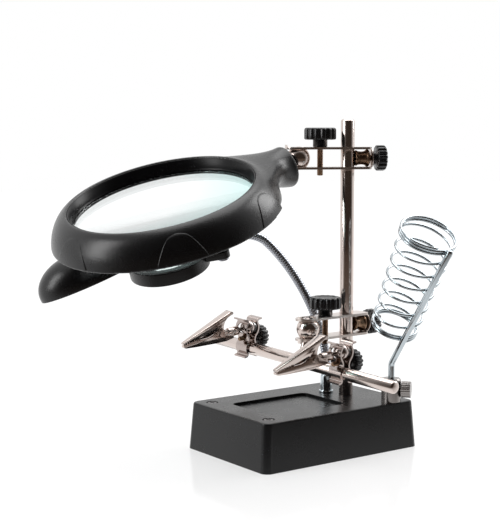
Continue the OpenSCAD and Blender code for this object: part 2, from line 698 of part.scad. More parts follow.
grip_t = 1.1;
grip_w = 10;
screw_up = 6;                      // clamp screw, between the rod and the ball
screw_r = 1.5;
grip_rod_r = rod_d / 2 + run_gap + grip_t / 2;         // middle of the sheet round the rod
grip_ball_r = clip_ball_d / 2 + ball_gap + grip_t / 2; // and round the ball
function round_spot(z, r, a) = [-r * cos(a), z + r * sin(a)];
function down_way(a) = [-sin(a), -cos(a)];
// Middle line of a plate's sheet, from its top lip to its bottom lip
ball_top_a = 36;
ball_low_a = -40;
rod_top_a = 38;
rod_low_a = -44;
top_lip_r = 1.7;
low_lip_r = 1.5;
top_lip_at = round_spot(clip_drop, grip_ball_r + top_lip_r, ball_top_a);
low_lip_at = round_spot(0, grip_rod_r + low_lip_r, rod_low_a);
waist = [round_spot(clip_drop, grip_ball_r, ball_low_a),
    round_spot(clip_drop, grip_ball_r, ball_low_a) + 2.6 * down_way(ball_low_a),
    round_spot(0, grip_rod_r, rod_top_a) - 2.6 * down_way(rod_top_a),
    round_spot(0, grip_rod_r, rod_top_a)];
plate_line = concat(
    [top_lip_at + [-2.2, top_lip_r + 0.25]],
    [for (k = [0 : 6]) let (t = 85 - (85 + ball_top_a) * k / 6) top_lip_at + top_lip_r * [cos(t), sin(t)]],
    [for (k = [1 : 8]) round_spot(clip_drop, grip_ball_r, ball_top_a + (ball_low_a - ball_top_a) * k / 8)],
    [for (k = [1 : 6]) bez(waist, k / 6)],
    [for (k = [1 : 8]) round_spot(0, grip_rod_r, rod_top_a + (rod_low_a - rod_top_a) * k / 8)],
    [for (k = [1 : 6]) let (t = -rod_low_a - (80 - rod_low_a) * k / 6) low_lip_at + low_lip_r * [cos(t), sin(t)]],
    [low_lip_at + [-1.5, -low_lip_r - 0.2]]);
function side_of(line, i, off) = let (
    n = len(line), w = unit(line[min(i + 1, n - 1)] - line[max(i - 1, 0)])) line[i] + off * [-w[1], w[0]];

// Wavy stamped plate on the -X side: it clasps the rod and the ball from one side
module grip_plate(screw_clear) color(nickel) difference() {
    translate([0, grip_w / 2, 0]) rotate([90, 0, 0]) linear_extrude(grip_w) polygon(concat(
        [for (i = [0 : len(plate_line) - 1]) side_of(plate_line, i, grip_t / 2)],
        [for (i = [len(plate_line) - 1 : -1 : 0]) side_of(plate_line, i, -grip_t / 2)]));
    translate([0, 0, clip_drop]) sphere(r = clip_ball_d / 2 + ball_gap, $fn = 48);
    translate([-12, 0, clip_drop]) rotate([0, 90, 0]) cylinder(r = 3.6, h = 11);
    translate([-12, 0, screw_up]) rotate([0, 90, 0]) cylinder(r = screw_r + screw_clear, h = 14);
    rotate([90, 0, 0]) cylinder(r = rod_d / 2 + run_gap, h = 20, center = true);
}

module grip_knob() color(plastic) {
    translate([6.8, 0, screw_up]) rotate([0, 90, 0]) fluted_head(15, 6, 15, 7.4, 1.6);
    translate([-7.4, 0, screw_up]) rotate([0, 90, 0]) cylinder(r = screw_r, h = 16);
}

// ---------------------------------------------------------------- sprung clips

// Clip frame: origin at its ball, nose along -X
module in_clip(at) on_rod(at) translate([0, 0, clip_drop]) rotate([0, -clip_nose_down, -rod_yaw]) children();

barrel_r = 3.1;
pivot_x = -(clip_len - 28);
pivot_z = 1.6;
jaw_t = 0.8;
handle_tip = [-clip_len + 39.5, 14];
tip_half_w = 1.5;

// Outline of a clip seen from above: narrow nose, full width at the pivot
module clip_plan(w, grow = 0) polygon([
    [-clip_len - 1, -tip_half_w - grow], [pivot_x - 5, -w / 2 - grow], [10, -w / 2 - grow],
    [10, w / 2 + grow], [pivot_x - 5, w / 2 + grow], [-clip_len - 1, tip_half_w + grow]]);

module teeth_cut(flip) for (i = [0 : clip_teeth - 1])
    translate([-clip_len + 1 + i * 1.35, 0, 0]) mirror([0, 0, flip ? 1 : 0])
        rotate([90, 0, 0]) linear_extrude(40, center = true) polygon([[0, 0.2], [1.35, 0.2], [0.68, -0.75]]);

module lower_jaw_side() polygon([
    [-clip_len, -0.2], [-clip_len, -1.9], [-clip_len + 2, -2.5], [pivot_x - 6, -3.5], [pivot_x + 3, -3.8],
    [pivot_x + 9, -3.2], [pivot_x + 9, 0.6], [pivot_x + 4.2, 2.6], [pivot_x + 2.8, 4.2], [pivot_x + 1, 5.2],
    [pivot_x - 1, 5.2], [pivot_x - 2.8, 4.2], [pivot_x - 4.2, 2.4], [pivot_x - 6.2, -0.4], [pivot_x - 7.4, -1.1],
    [pivot_x - 9.6, -0.9], [pivot_x - 11, -0.2]]);

module lower_jaw() color(nickel) {
    difference() {
        intersection() {
            rotate([90, 0, 0]) linear_extrude(30, center = true) lower_jaw_side();
            translate([0, 0, -20]) linear_extrude(40) clip_plan(clip_w);
        }
        // Channel between the side walls
        translate([0, 0, -20]) linear_extrude(40) intersection() {
            clip_plan(clip_w, -jaw_t);
            translate([-clip_len + 1.2, -20]) square([80, 40]);
        }
        translate([0, 0, -0.2]) teeth_cut(false);
        translate([pivot_x, 0, pivot_z]) rotate([90, 0, 0]) cylinder(r = 1.2, h = 20, center = true);
    }
    // Floor of the channel
    intersection() {
        rotate([90, 0, 0]) linear_extrude(30, center = true) polygon([
            [-clip_len, -1.2], [-clip_len, -2.0], [-clip_len + 2, -2.6], [pivot_x - 6, -3.6], [pivot_x + 3, -3.9],
            [pivot_x + 9, -3.2], [pivot_x + 9, -2.4], [pivot_x + 3, -3.1], [pivot_x - 6, -2.8], [-clip_len + 2, -1.8]]);
        translate([0, 0, -20]) linear_extrude(40) clip_plan(clip_w);
    }
    // Rolled barrel
    translate([pivot_x + 7.5, 0, 0]) rotate([0, 90, 0]) difference() {
        cylinder(r = barrel_r, h = -8.2 - pivot_x - 7.5);
        translate([0, 0, -1]) cylinder(r = barrel_r - jaw_t, h = 40);
        translate([-5, -0.3, -1]) cube([4, 0.6, 40]);
    }
}

upper_w = clip_w - 2 * jaw_t - 2 * 0.3;
module upper_jaw() color(nickel) difference() {
    intersection() {
        rotate([90, 0, 0]) linear_extrude(30, center = true) polygon([
            [-clip_len, 0.2], [-clip_len, 1.2], [handle_tip[0] - 2, handle_tip[1]], [handle_tip[0], handle_tip[1] + 0.4],
            [handle_tip[0] + 0.4, handle_tip[1] - 0.8], [handle_tip[0] - 1.6, handle_tip[1] - 2.8],
            [pivot_x + 6.4, 9.7], [pivot_x + 3.8, 6.4], [pivot_x + 2.9, 1.8], [pivot_x + 1.8, -0.4], [pivot_x, -1.0],
            [pivot_x - 1.8, -0.4], [pivot_x - 4.6, 2.6], [pivot_x - 8, 2.7], [pivot_x - 10.6, 0.2]]);
        translate([0, 0, -20]) linear_extrude(40) clip_plan(upper_w);
    }
    // Hollow underneath the top sheet
    intersection() {
        rotate([90, 0, 0]) linear_extrude(30, center = true) polygon([
            [-clip_len + 2.4, -3], [-clip_len + 2.4, 1.2], [handle_tip[0] - 0.6, handle_tip[1] - 0.2],
            [handle_tip[0] + 4, handle_tip[1] - 4], [pivot_x, -8]]);
        translate([0, 0, -20]) linear_extrude(40) clip_plan(upper_w, -jaw_t);
    }
    translate([0, 0, 0.2]) teeth_cut(true);
    translate([pivot_x, 0, pivot_z]) rotate([90, 0, 0]) cylinder(r = rivet_r + run_gap, h = 20, center = true);
}

rivet_r = 1.15;
module clip_pivot() color(nickel) translate([pivot_x, 0, pivot_z]) rotate([90, 0, 0]) {
    cylinder(r = rivet_r, h = clip_w + 0.6, center = true);
    for (s = [-1, 1]) translate([0, 0, s * (clip_w / 2 + 0.45)]) cylinder(r = 1.9, h = 0.7, center = true);
    // Coil spring round the rivet
    for (i = [-1, 0, 1]) translate([0, 0, i * 1.0]) rotate_extrude() translate([rivet_r + 0.35, 0]) circle(r = 0.42, $fn = 16);
}

module clip_stem() color(nickel) difference() {
    translate([-17, 0, 0]) rotate([0, 90, 0]) {
        cylinder(r = barrel_r - jaw_t - 0.02, h = 10);
        cylinder(r = 1.4, h = 17);
    }
    sphere(r = clip_ball_d / 2 + 0.1, $fn = 48);
}

module clip_ball() color(nickel) sphere(d = clip_ball_d, $fn = 48);

module left_clamp_front_plate() on_rod(left_at) grip_plate(run_gap);
module left_clamp_back_plate() on_rod(left_at) mirror([1, 0, 0]) grip_plate(0.25);
module left_clamp_knob() on_rod(left_at) grip_knob();
module left_clip_ball() in_clip(left_at) clip_ball();
module left_clip_stem() in_clip(left_at) clip_stem();
module left_lower_jaw() in_clip(left_at) lower_jaw();
module left_upper_jaw() in_clip(left_at) upper_jaw();
module left_clip_pivot() in_clip(left_at) clip_pivot();
module right_clamp_front_plate() on_rod(right_at) grip_plate(run_gap);
module right_clamp_back_plate() on_rod(right_at) mirror([1, 0, 0]) grip_plate(0.25);
module right_clamp_knob() on_rod(right_at) grip_knob();
module right_clip_ball() in_clip(right_at) clip_ball();
module right_clip_stem() in_clip(right_at) clip_stem();
module right_lower_jaw() in_clip(right_at) lower_jaw();
module right_upper_jaw() in_clip(right_at) upper_jaw();
module right_clip_pivot() in_clip(right_at) clip_pivot();

// ---------------------------------------------------------------- iron rest

socket_d = 12.6;
socket_h = 15;
bend_z = socket_h + 9.5;
// Stand frame: origin on the base's top under the rod
module on_stand() translate([socket_x, socket_y, base_h]) children();
// Leaning frame: origin at the bend, +Z up the leaning rod
module in_lean() on_stand() translate([0, 0, bend_z]) rotate([stand_lean, 0, 0]) children();

stand_screw_dir = -50;
module stand_socket() color(nickel) on_stand() difference() {
    union() {
        cylinder(d = socket_d, h = socket_h - 1);
        translate([0, 0, socket_h - 1]) cylinder(d1 = socket_d, d2 = socket_d - 1.6, h = 1);
        translate([0, 0, -base_top - 3]) cylinder(d = 4.9, h = base_top + 3.5);
    }
    translate([0, 0, 3]) cylinder(r = stand_rod_d / 2 + run_gap, h = socket_h);
    rotate([0, 0, stand_screw_dir]) translate([0, 0, 8]) rotate([0, 90, 0]) cylinder(r = 1.6 + run_gap, h = 10);
}

lean_len = 90.6;
coil_off = coil_top_r + coil_wire_d / 2 + stand_rod_d / 2 - 0.05;
toe_off = coil_bottom_r + coil_wire_d / 2 + stand_rod_d / 2 - 0.05;
// The coil crosses the rod a little: its toe lies on one side of it, its mouth on the other
function beside_rod(a, off) = [-off * sin(a), off * cos(a), 0];
coil_across = beside_rod(1.5, coil_off) - beside_rod(-20, toe_off);
coil_rise = sqrt(coil_len * coil_len - coil_across[0] * coil_across[0] - coil_across[1] * coil_across[1]);
coil_toe = beside_rod(-20, toe_off) + [0, 0, lean_len - coil_rise];
coil_heading = atan2(coil_across[1], coil_across[0]);

// The bend: its radius, and how far its ends lie from the corner
bend_r = 6;
bend_back = bend_r * tan(stand_lean / 2);
lean_way = [0, -sin(stand_lean), cos(stand_lean)];
rod_path = concat([[0, 0, 3.2]],
    [for (i = [0 : 6]) let (a = stand_lean * i / 6)
        [0, bend_r * (cos(a) - 1), bend_z - bend_back + bend_r * sin(a)]],
    [[0, 0, bend_z] + (lean_len + 1.6) * lean_way]);
module stand_rod() color(chrome) on_stand() swept_tube(rod_path, stand_rod_d / 2, 24, [1, 0, 0]);

// Conical coil, close-wound at both ends
coil_steps = 18;
function coil_z(u) = u < 1.6 ? u * coil_wire_d * 1.05
    : u > coil_turns - 1.6 ? coil_len - (coil_turns - u) * coil_wire_d * 1.05
    : 1.6 * coil_wire_d * 1.05
        + (u - 1.6) / (coil_turns - 3.2) * (coil_len - 3.2 * coil_wire_d * 1.05);
function coil_r(z) = coil_bottom_r + (coil_top_r - coil_bottom_r) * z / coil_len;
coil_path = [for (i = [0 : coil_turns * coil_steps])
    let (u = i / coil_steps, z = coil_z(u))
    [coil_r(z) * cos(360 * u), coil_r(z) * sin(360 * u), z]];

module stand_coil() color(chrome) in_lean() translate(coil_toe)
    rotate([0, acos(coil_rise / coil_len), coil_heading]) rotate([0, 0, -110 - coil_heading])
        swept_tube(coil_path, coil_wire_d / 2, 8, [0, 0, 1]);

module stand_screw() color(nickel) on_stand() rotate([0, 0, stand_screw_dir]) translate([0, 0, 8]) rotate([0, 90, 0]) {
    translate([0, 0, stand_rod_d / 2 + 0.1]) cylinder(r = 1.6, h = 8);
    translate([0, 0, socket_d / 2 + 0.4]) difference() {
        cylinder(d = 10.5, h = 6);
        for (i = [0 : 19]) rotate([0, 0, i * 18]) translate([5.55, 0, -1]) cylinder(d = 1.1, h = 8, $fn = 12);
    }
}

base_shell();
base_cover();
base_feet();
case_screws();
ballast();
battery_door();
batteries();
battery_contacts();
rocker_switch();
post();
hose_ferrule();
gooseneck_hose();
lamp_shade();
lamp_window();
led_board();
stand_socket();
stand_rod();
stand_coil();
stand_screw();
upper_top_plate();
upper_bottom_plate();
upper_post_block();
upper_post_washer();
upper_post_knob();
upper_squeeze_knob();
upper_ball();
lower_top_plate();
lower_bottom_plate();
lower_post_block();
lower_post_washer();
lower_post_knob();
lower_squeeze_knob();
lower_ball();
head_housing();
head_bezel();
head_bottom_ring();
head_stud();
main_lens();
aux_ring();
aux_lens();
aux_pin();
cross_rod();
rod_stem();
left_clamp_front_plate();
left_clamp_back_plate();
left_clamp_knob();
left_clip_ball();
left_clip_stem();
left_lower_jaw();
left_upper_jaw();
left_clip_pivot();
right_clamp_front_plate();
right_clamp_back_plate();
right_clamp_knob();
right_clip_ball();
right_clip_stem();
right_lower_jaw();
right_upper_jaw();
right_clip_pivot();
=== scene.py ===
import json
import math
import bmesh
import bpy
from mathutils import Euler, Matrix, Vector


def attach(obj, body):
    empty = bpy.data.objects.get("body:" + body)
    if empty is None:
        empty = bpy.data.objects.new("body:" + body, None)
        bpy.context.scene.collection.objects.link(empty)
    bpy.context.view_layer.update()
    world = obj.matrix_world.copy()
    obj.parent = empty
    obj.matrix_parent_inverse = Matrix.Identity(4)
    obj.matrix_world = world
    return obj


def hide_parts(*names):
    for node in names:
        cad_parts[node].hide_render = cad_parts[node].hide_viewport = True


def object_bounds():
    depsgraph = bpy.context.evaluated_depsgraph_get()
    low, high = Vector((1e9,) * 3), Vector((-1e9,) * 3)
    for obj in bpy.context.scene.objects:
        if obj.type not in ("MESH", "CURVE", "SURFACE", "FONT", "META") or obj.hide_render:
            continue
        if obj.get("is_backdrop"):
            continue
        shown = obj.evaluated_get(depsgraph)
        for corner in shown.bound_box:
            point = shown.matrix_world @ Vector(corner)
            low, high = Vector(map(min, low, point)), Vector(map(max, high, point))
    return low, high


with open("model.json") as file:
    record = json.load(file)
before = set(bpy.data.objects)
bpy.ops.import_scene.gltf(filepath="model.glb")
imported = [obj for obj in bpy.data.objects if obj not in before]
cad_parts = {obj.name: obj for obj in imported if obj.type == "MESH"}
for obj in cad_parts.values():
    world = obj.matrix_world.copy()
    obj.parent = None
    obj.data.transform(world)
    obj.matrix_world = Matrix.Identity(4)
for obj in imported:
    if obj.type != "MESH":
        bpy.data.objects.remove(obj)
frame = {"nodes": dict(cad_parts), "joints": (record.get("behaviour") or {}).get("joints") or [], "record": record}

cad_low, cad_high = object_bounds()
node = frame["nodes"]
record = frame["record"]
joint = {j["name"]: j for j in frame["joints"]}

# ---------------------------------------------------------------- camera
# Stands at bench height off the base's near corner, a little above the post's
# top, and looks almost level across the base.
AZIMUTH = math.radians(-36.02)
PITCH = math.radians(6.087)
FOCAL_LENGTH, SENSOR_WIDTH = 88.8, 36.0
CAMERA_AT = (-0.5107, -0.6447, 0.2063)
forward = Vector((
    math.sin(-AZIMUTH) * math.cos(PITCH),
    math.cos(AZIMUTH) * math.cos(PITCH),
    -math.sin(PITCH),
))
lens = bpy.data.cameras.new("view")
lens.lens = FOCAL_LENGTH
lens.sensor_width = SENSOR_WIDTH
lens.clip_start = 0.01
lens.clip_end = 20.0
camera = bpy.data.objects.new("view", lens)
bpy.context.scene.collection.objects.link(camera)
camera.location = CAMERA_AT
camera.rotation_euler = forward.to_track_quat("-Z", "Y").to_euler()
bpy.context.scene.camera = camera
bpy.context.scene.view_settings.view_transform = "Standard"

# ---------------------------------------------------------------- studio
# A white floor and surround that metal and glass also see, with one dark side
# behind the camera, as in a real studio, and three soft lamps.
DARK_SIDE, DARK_FROM, DARK_TO = Vector((-0.42, -0.91, 0.0)), -0.15, 0.65
DARK_BROWN = (0.036, 0.026, 0.020)
FLOOR_WHITE, FLOOR_BROWN = 1.1, 2.4
# Shares of the floor's glow that the camera sees near the stand and far from
# it, and that metal and glass see
GLOW_NEAR, GLOW_FAR, GLOW_IN_METAL, GLOW_IN_GLASS = 0.55, 0.98, 0.97, 0.9
GLOW_RISES = (0.25, 1.0)
FLOOR_DARKENS = (0.06, 0.34)
FLOOR_SIZE, FLOOR_DROP = 3.0, 0.0002


def new_material(name):
    m = bpy.data.materials.new(name)
    m.use_nodes = True
    m.node_tree.nodes.clear()
    return m, m.node_tree.nodes, m.node_tree.links


def math_node(n, l, operation, a, b):
    """A Math node; a and b are numbers or sockets."""
    node_made = n.new("ShaderNodeMath")
    node_made.operation = operation
    for slot, value in zip(node_made.inputs, (a, b)):
        if isinstance(value, (int, float)):
            slot.default_value = value
        else:
            l.new(value, slot)
    return node_made.outputs[0]


def smooth_step(n, l, value, start, stop, first=0.0, last=1.0):
    """Goes softly from first to last as value goes from start to stop."""
    step = n.new("ShaderNodeMapRange")
    step.interpolation_type = "SMOOTHSTEP"
    step.inputs["From Min"].default_value = start
    step.inputs["From Max"].default_value = stop
    step.inputs["To Min"].default_value = first
    step.inputs["To Max"].default_value = last
    l.new(value, step.inputs["Value"])
    return step.outputs["Result"]


def into_dark(n, l, way):
    """How far a direction points into the dark side, from 0 to 1."""
    dot = n.new("ShaderNodeVectorMath")
    dot.operation = "DOT_PRODUCT"
    dot.inputs[1].default_value = DARK_SIDE.normalized()
    l.new(way, dot.inputs[0])
    return smooth_step(n, l, dot.outputs["Value"], DARK_FROM, DARK_TO)


world = bpy.data.worlds.new("surround")
bpy.context.scene.world = world
world.use_nodes = True
wn, wl = world.node_tree.nodes, world.node_tree.links
wn.clear()


def surround(strength, colour=(1, 1, 1)):
    shade = wn.new("ShaderNodeBackground")
    shade.inputs["Color"].default_value = (*colour, 1)
    shade.inputs["Strength"].default_value = strength
    return shade.outputs[0]


def either(fac, first, second):
    mix = wn.new("ShaderNodeMixShader")
    wl.new(fac, mix.inputs["Fac"])
    wl.new(first, mix.inputs[1])
    wl.new(second, mix.inputs[2])
    return mix.outputs[0]


w_way = wn.new("ShaderNodeTexCoord")
w_path = wn.new("ShaderNodeLightPath")
w_open = math_node(wn, wl, "MAXIMUM",
                   w_path.outputs["Is Camera Ray"], w_path.outputs["Is Transmission Ray"])
w_dark = into_dark(wn, wl, w_way.outputs["Generated"])
in_metal = either(w_dark, surround(1.0), surround(1.0, DARK_BROWN))
in_object = either(w_path.outputs["Is Glossy Ray"], surround(0.5), in_metal)
w_out = wn.new("ShaderNodeOutputWorld")
wl.new(either(w_open, in_object, surround(1.0)), w_out.inputs["Surface"])

bm = bmesh.new()
bmesh.ops.create_grid(bm, x_segments=2, y_segments=2, size=FLOOR_SIZE)
floor_mesh = bpy.data.meshes.new("floor")
bm.to_mesh(floor_mesh)
bm.free()
floor = bpy.data.objects.new("floor", floor_mesh)
floor.location.z = cad_low[2] - FLOOR_DROP
bpy.context.scene.collection.objects.link(floor)
m, n, l = new_material("floor_white")
f_out = n.new("ShaderNodeOutputMaterial")
f_face = n.new("ShaderNodeBsdfPrincipled")
f_face.inputs["Base Color"].default_value = (0.94, 0.93, 0.93, 1)
f_face.inputs["Roughness"].default_value = 0.11
f_face.inputs["Specular IOR Level"].default_value = 1.0
f_glow = n.new("ShaderNodeEmission")
f_path = n.new("ShaderNodeLightPath")
# In the dark side the floor is dark too, for what metal and gloss see
f_at = n.new("ShaderNodeTexCoord")
f_unit, f_far = n.new("ShaderNodeVectorMath"), n.new("ShaderNodeVectorMath")
f_unit.operation, f_far.operation = "NORMALIZE", "LENGTH"
l.new(f_at.outputs["Object"], f_unit.inputs[0])
l.new(f_at.outputs["Object"], f_far.inputs[0])
f_away = f_far.outputs["Value"]
dimmed = math_node(n, l, "MULTIPLY",
                   f_path.outputs["Is Glossy Ray"], into_dark(n, l, f_unit.outputs["Vector"]))
dimmed = math_node(n, l, "MULTIPLY", dimmed, smooth_step(n, l, f_away, *FLOOR_DARKENS))
f_tone = n.new("ShaderNodeMix")
f_tone.data_type = "RGBA"
f_tone.inputs["A"].default_value = (1, 1, 1, 1)
f_tone.inputs["B"].default_value = (*[FLOOR_BROWN * c for c in DARK_BROWN], 1)
l.new(dimmed, f_tone.inputs["Factor"])
l.new(f_tone.outputs["Result"], f_glow.inputs["Color"])
f_glow.inputs["Strength"].default_value = FLOOR_WHITE
seen = math_node(n, l, "MULTIPLY", f_path.outputs["Is Camera Ray"],
                 smooth_step(n, l, f_away, *GLOW_RISES, GLOW_NEAR, GLOW_FAR))
for ray, share in (("Is Glossy Ray", GLOW_IN_METAL), ("Is Transmission Ray", GLOW_IN_GLASS)):
    part = math_node(n, l, "MULTIPLY", f_path.outputs[ray], share)
    seen = math_node(n, l, "MAXIMUM", seen, part)
f_mix = n.new("ShaderNodeMixShader")
l.new(seen, f_mix.inputs["Fac"])
l.new(f_face.outputs[0], f_mix.inputs[1])
l.new(f_glow.outputs[0], f_mix.inputs[2])
l.new(f_mix.outputs[0], f_out.inputs["Surface"])
floor_mesh.materials.append(m)
floor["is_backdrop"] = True


def soft_lamp(name, place, aim, size, power):
    data = bpy.data.lights.new(name, "AREA")
    data.shape = "RECTANGLE"
    data.size, data.size_y = size
    data.energy = power
    lamp = bpy.data.objects.new(name, data)
    lamp.location = place
    lamp.rotation_euler = (Vector(aim) - Vector(place)).to_track_quat("-Z", "Y").to_euler()
    bpy.context.scene.collection.objects.link(lamp)


soft_lamp("overhead", (0.1, 0.2, 1.3), (0, 0, 0.1), (1.1, 1.1), 10.0)
soft_lamp("left_bank", (-1.2, 0.35, 0.55), (0, 0, 0.12), (0.4, 0.9), 7.0)
soft_lamp("right_bank", (0.92, -0.12, 0.86), (0, 0, 0.12), (0.5, 0.7), 6.5)

# ---------------------------------------------------------------- finishes
# Black plastics with the fine grain of their mould, plated and bare metals with
# faint clouds in their polish, and clear glass and plastic.
GRAIN_DETAIL, GRAIN_DEEP = 3.0, 0.0002
PLASTIC_CLOUDS, METAL_CLOUDS = 60.0, 140.0


def grained(n, l, shader, at, scale, height):
    """Fine grain in a moulded face."""
    grain = n.new("ShaderNodeTexNoise")
    grain.inputs["Scale"].default_value = scale
    grain.inputs["Detail"].default_value = GRAIN_DETAIL
    bump = n.new("ShaderNodeBump")
    bump.inputs["Strength"].default_value = height
    bump.inputs["Distance"].default_value = GRAIN_DEEP
    l.new(at.outputs["Object"], grain.inputs["Vector"])
    l.new(grain.outputs["Fac"], bump.inputs["Height"])
    l.new(bump.outputs["Normal"], shader.inputs["Normal"])


def clouded(n, l, shader, at, scale, rough, spread, colour, darker, lighter):
    """Clouds that vary a face's roughness and its tone a little."""
    cloud = n.new("ShaderNodeTexNoise")
    cloud.inputs["Scale"].default_value = scale
    l.new(at.outputs["Object"], cloud.inputs["Vector"])
    polish = n.new("ShaderNodeMapRange")
    polish.inputs["To Min"].default_value = rough - spread
    polish.inputs["To Max"].default_value = rough + spread
    l.new(cloud.outputs["Fac"], polish.inputs["Value"])
    l.new(polish.outputs["Result"], shader.inputs["Roughness"])
    tone = n.new("ShaderNodeValToRGB")
    for stop, share in zip(tone.color_ramp.elements, (darker, lighter)):
        stop.color = (*[min(1, c * share) for c in colour], 1)
    l.new(cloud.outputs["Fac"], tone.inputs["Fac"])
    l.new(tone.outputs["Color"], shader.inputs["Base Color"])


def moulded(name, colour, rough, spread, scale, height, gloss):
    m, n, l = new_material(name)
    out = n.new("ShaderNodeOutputMaterial")
    face = n.new("ShaderNodeBsdfPrincipled")
    at = n.new("ShaderNodeTexCoord")
    grained(n, l, face, at, scale, height)
    clouded(n, l, face, at, PLASTIC_CLOUDS, rough, spread, colour, 0.8, 1.25)
    face.inputs["Specular IOR Level"].default_value = gloss
    l.new(face.outputs[0], out.inputs["Surface"])
    return m


def plated(name, colour, rough, spread):
    m, n, l = new_material(name)
    out = n.new("ShaderNodeOutputMaterial")
    face = n.new("ShaderNodeBsdfPrincipled")
    face.inputs["Metallic"].default_value = 1.0
    at = n.new("ShaderNodeTexCoord")
    clouded(n, l, face, at, METAL_CLOUDS, rough, spread, colour, 0.93, 1.04)
    l.new(face.outputs[0], out.inputs["Surface"])
    return m


def clear(name, colour, ior, rough):
    m, n, l = new_material(name)
    out = n.new("ShaderNodeOutputMaterial")
    face = n.new("ShaderNodeBsdfPrincipled")
    face.inputs["Base Color"].default_value = (*colour, 1)
    face.inputs["Transmission Weight"].default_value = 1.0
    face.inputs["IOR"].default_value = ior
    face.inputs["Roughness"].default_value = rough
    l.new(face.outputs[0], out.inputs["Surface"])
    return m


plastics = {
    # colour, roughness and how far it varies, grain's scale and height, gloss
    "moulded_black": ((0.0024, 0.0024, 0.0028), 0.27, 0.04, 1500.0, 0.32, 0.42),
    "base_black": ((0.003, 0.003, 0.0035), 0.28, 0.05, 2000.0, 0.3, 0.27),
    "gloss_black": ((0.0025, 0.0025, 0.003), 0.28, 0.03, 900.0, 0.03, 0.16),
    "knob_black": ((0.004, 0.004, 0.0045), 0.22, 0.04, 1800.0, 0.06, 0.5),
    "foot_rubber": ((0.02, 0.02, 0.02), 0.8, 0.05, 900.0, 0.3, 0.5),
    "cast_weight": ((0.10, 0.10, 0.11), 0.7, 0.1, 500.0, 0.6, 0.5),
    "cell_wrap": ((0.08, 0.16, 0.32), 0.35, 0.03, 300.0, 0.02, 0.5),
    "board_white": ((0.75, 0.76, 0.74), 0.3, 0.03, 300.0, 0.05, 0.5),
}
metals = {
    # colour, roughness and how far it varies
    "contact_brass": ((0.72, 0.55, 0.25), 0.3, 0.05),
    "bright_chrome": ((0.50, 0.55, 0.58), 0.10, 0.03),
    "hose_steel": ((0.40, 0.42, 0.46), 0.22, 0.05),
    "warm_nickel": ((0.66, 0.575, 0.535), 0.15, 0.04),
    "socket_steel": ((0.30, 0.28, 0.27), 0.26, 0.05),
    "grip_nickel": ((0.47, 0.405, 0.38), 0.16, 0.04),
    "plate_nickel": ((0.70, 0.63, 0.59), 0.30, 0.05),
    "dark_bronze": ((0.22, 0.14, 0.09), 0.28, 0.06),
    "dark_steel": ((0.16, 0.15, 0.15), 0.32, 0.05),
}
clears = {
    # colour, refraction, roughness
    "lens_glass": ((0.88, 0.985, 0.975), 1.5, 0.0),
    "lamp_cover": ((0.95, 0.96, 0.96), 1.45, 0.3),
}
finish = {}
for make, family in ((moulded, plastics), (plated, metals), (clear, clears)):
    for name, values in family.items():
        finish[name] = make(name, *values)
own_finish = {
    "case_screws": "dark_steel",
    "base_shell": "base_black",
    "stand_socket": "socket_steel",
    "stand_screw": "socket_steel",
}
slot_of = {s["node"]: s["material_slot"] for s in record["subparts"]}
for name, piece in node.items():
    own = own_finish.get(name, slot_of[name])
    if name.endswith(("_top_plate", "_bottom_plate")):
        own = "plate_nickel"
    elif name.endswith(("_front_plate", "_back_plate", "_clip_stem", "_clip_ball")):
        own = "grip_nickel"
    piece.data.materials.clear()
    piece.data.materials.append(finish[own])

# ---------------------------------------------------------------- magnifier housing
# One black moulding: a ring that swells toward its foot and a neck that flares
# out of it toward the ball. Five arched thumb pads stand round its side.
MM = 0.001
HEAD_TURN = [math.radians(a) for a in (8.7, -18.7, -4.1)]
HEAD_REACH, HEAD_RISE, HEAD_H, HEAD_R, OPEN_R = 102.0, 14.5, 19.5, 72.0, 57.7
LENS_LOW = -12.4
SEAT_Z, WELL_R = LENS_LOW - 2.2, HEAD_R - 3
NECK_END, NECK_R, NECK_Z = HEAD_REACH - 9.7, 13.5, -HEAD_RISE - 2
DISH_R = 13.4
GRID = 0.75
FLARE_BLEND, FLARE_ROUNDS = 0.6, 160
head_frame = (
    Matrix.Translation(joint["magnifier_tilt"]["pos_m"])
    @ Euler(HEAD_TURN).to_matrix().to_4x4()
    @ Matrix.Scale(MM, 4)
    @ Matrix.Translation((-HEAD_REACH, 0, HEAD_RISE))
)


def bezier(points, t):
    u = 1 - t
    a, b, c, d = [Vector(p) for p in points]
    return u**3 * a + 3 * u * u * t * b + 3 * u * t * t * c + t**3 * d


def lathe(bm, profile, steps, close=True):
    """Spins a profile of (radius, height) points about Z."""
    verts = [bm.verts.new((r, 0, z)) for r, z in profile]
    edges = [bm.edges.new((a, b)) for a, b in zip(verts, verts[1:])]
    if close:
        edges.append(bm.edges.new((verts[-1], verts[0])))
    bmesh.ops.spin(bm, geom=verts + edges, axis=(0, 0, 1), cent=(0, 0, 0), angle=math.tau,
                   steps=steps, use_merge=True, use_duplicate=False)
    bmesh.ops.remove_doubles(bm, verts=bm.verts, dist=0.001)
    bmesh.ops.recalc_face_normals(bm, faces=bm.faces)


def loft(bm, rings):
    """Skins a row of closed rings of points and caps both ends."""
    loops = []
    for ring in rings:
        verts = [bm.verts.new(p) for p in ring]
        loops.append([bm.edges.new((a, b)) for a, b in zip(verts, verts[1:] + verts[:1])])
    for a, b in zip(loops, loops[1:]):
        bmesh.ops.bridge_loops(bm, edges=a + b)
    for loop in (loops[0], loops[-1]):
        bmesh.ops.contextual_create(bm, geom=loop)
    bmesh.ops.recalc_face_normals(bm, faces=bm.faces)


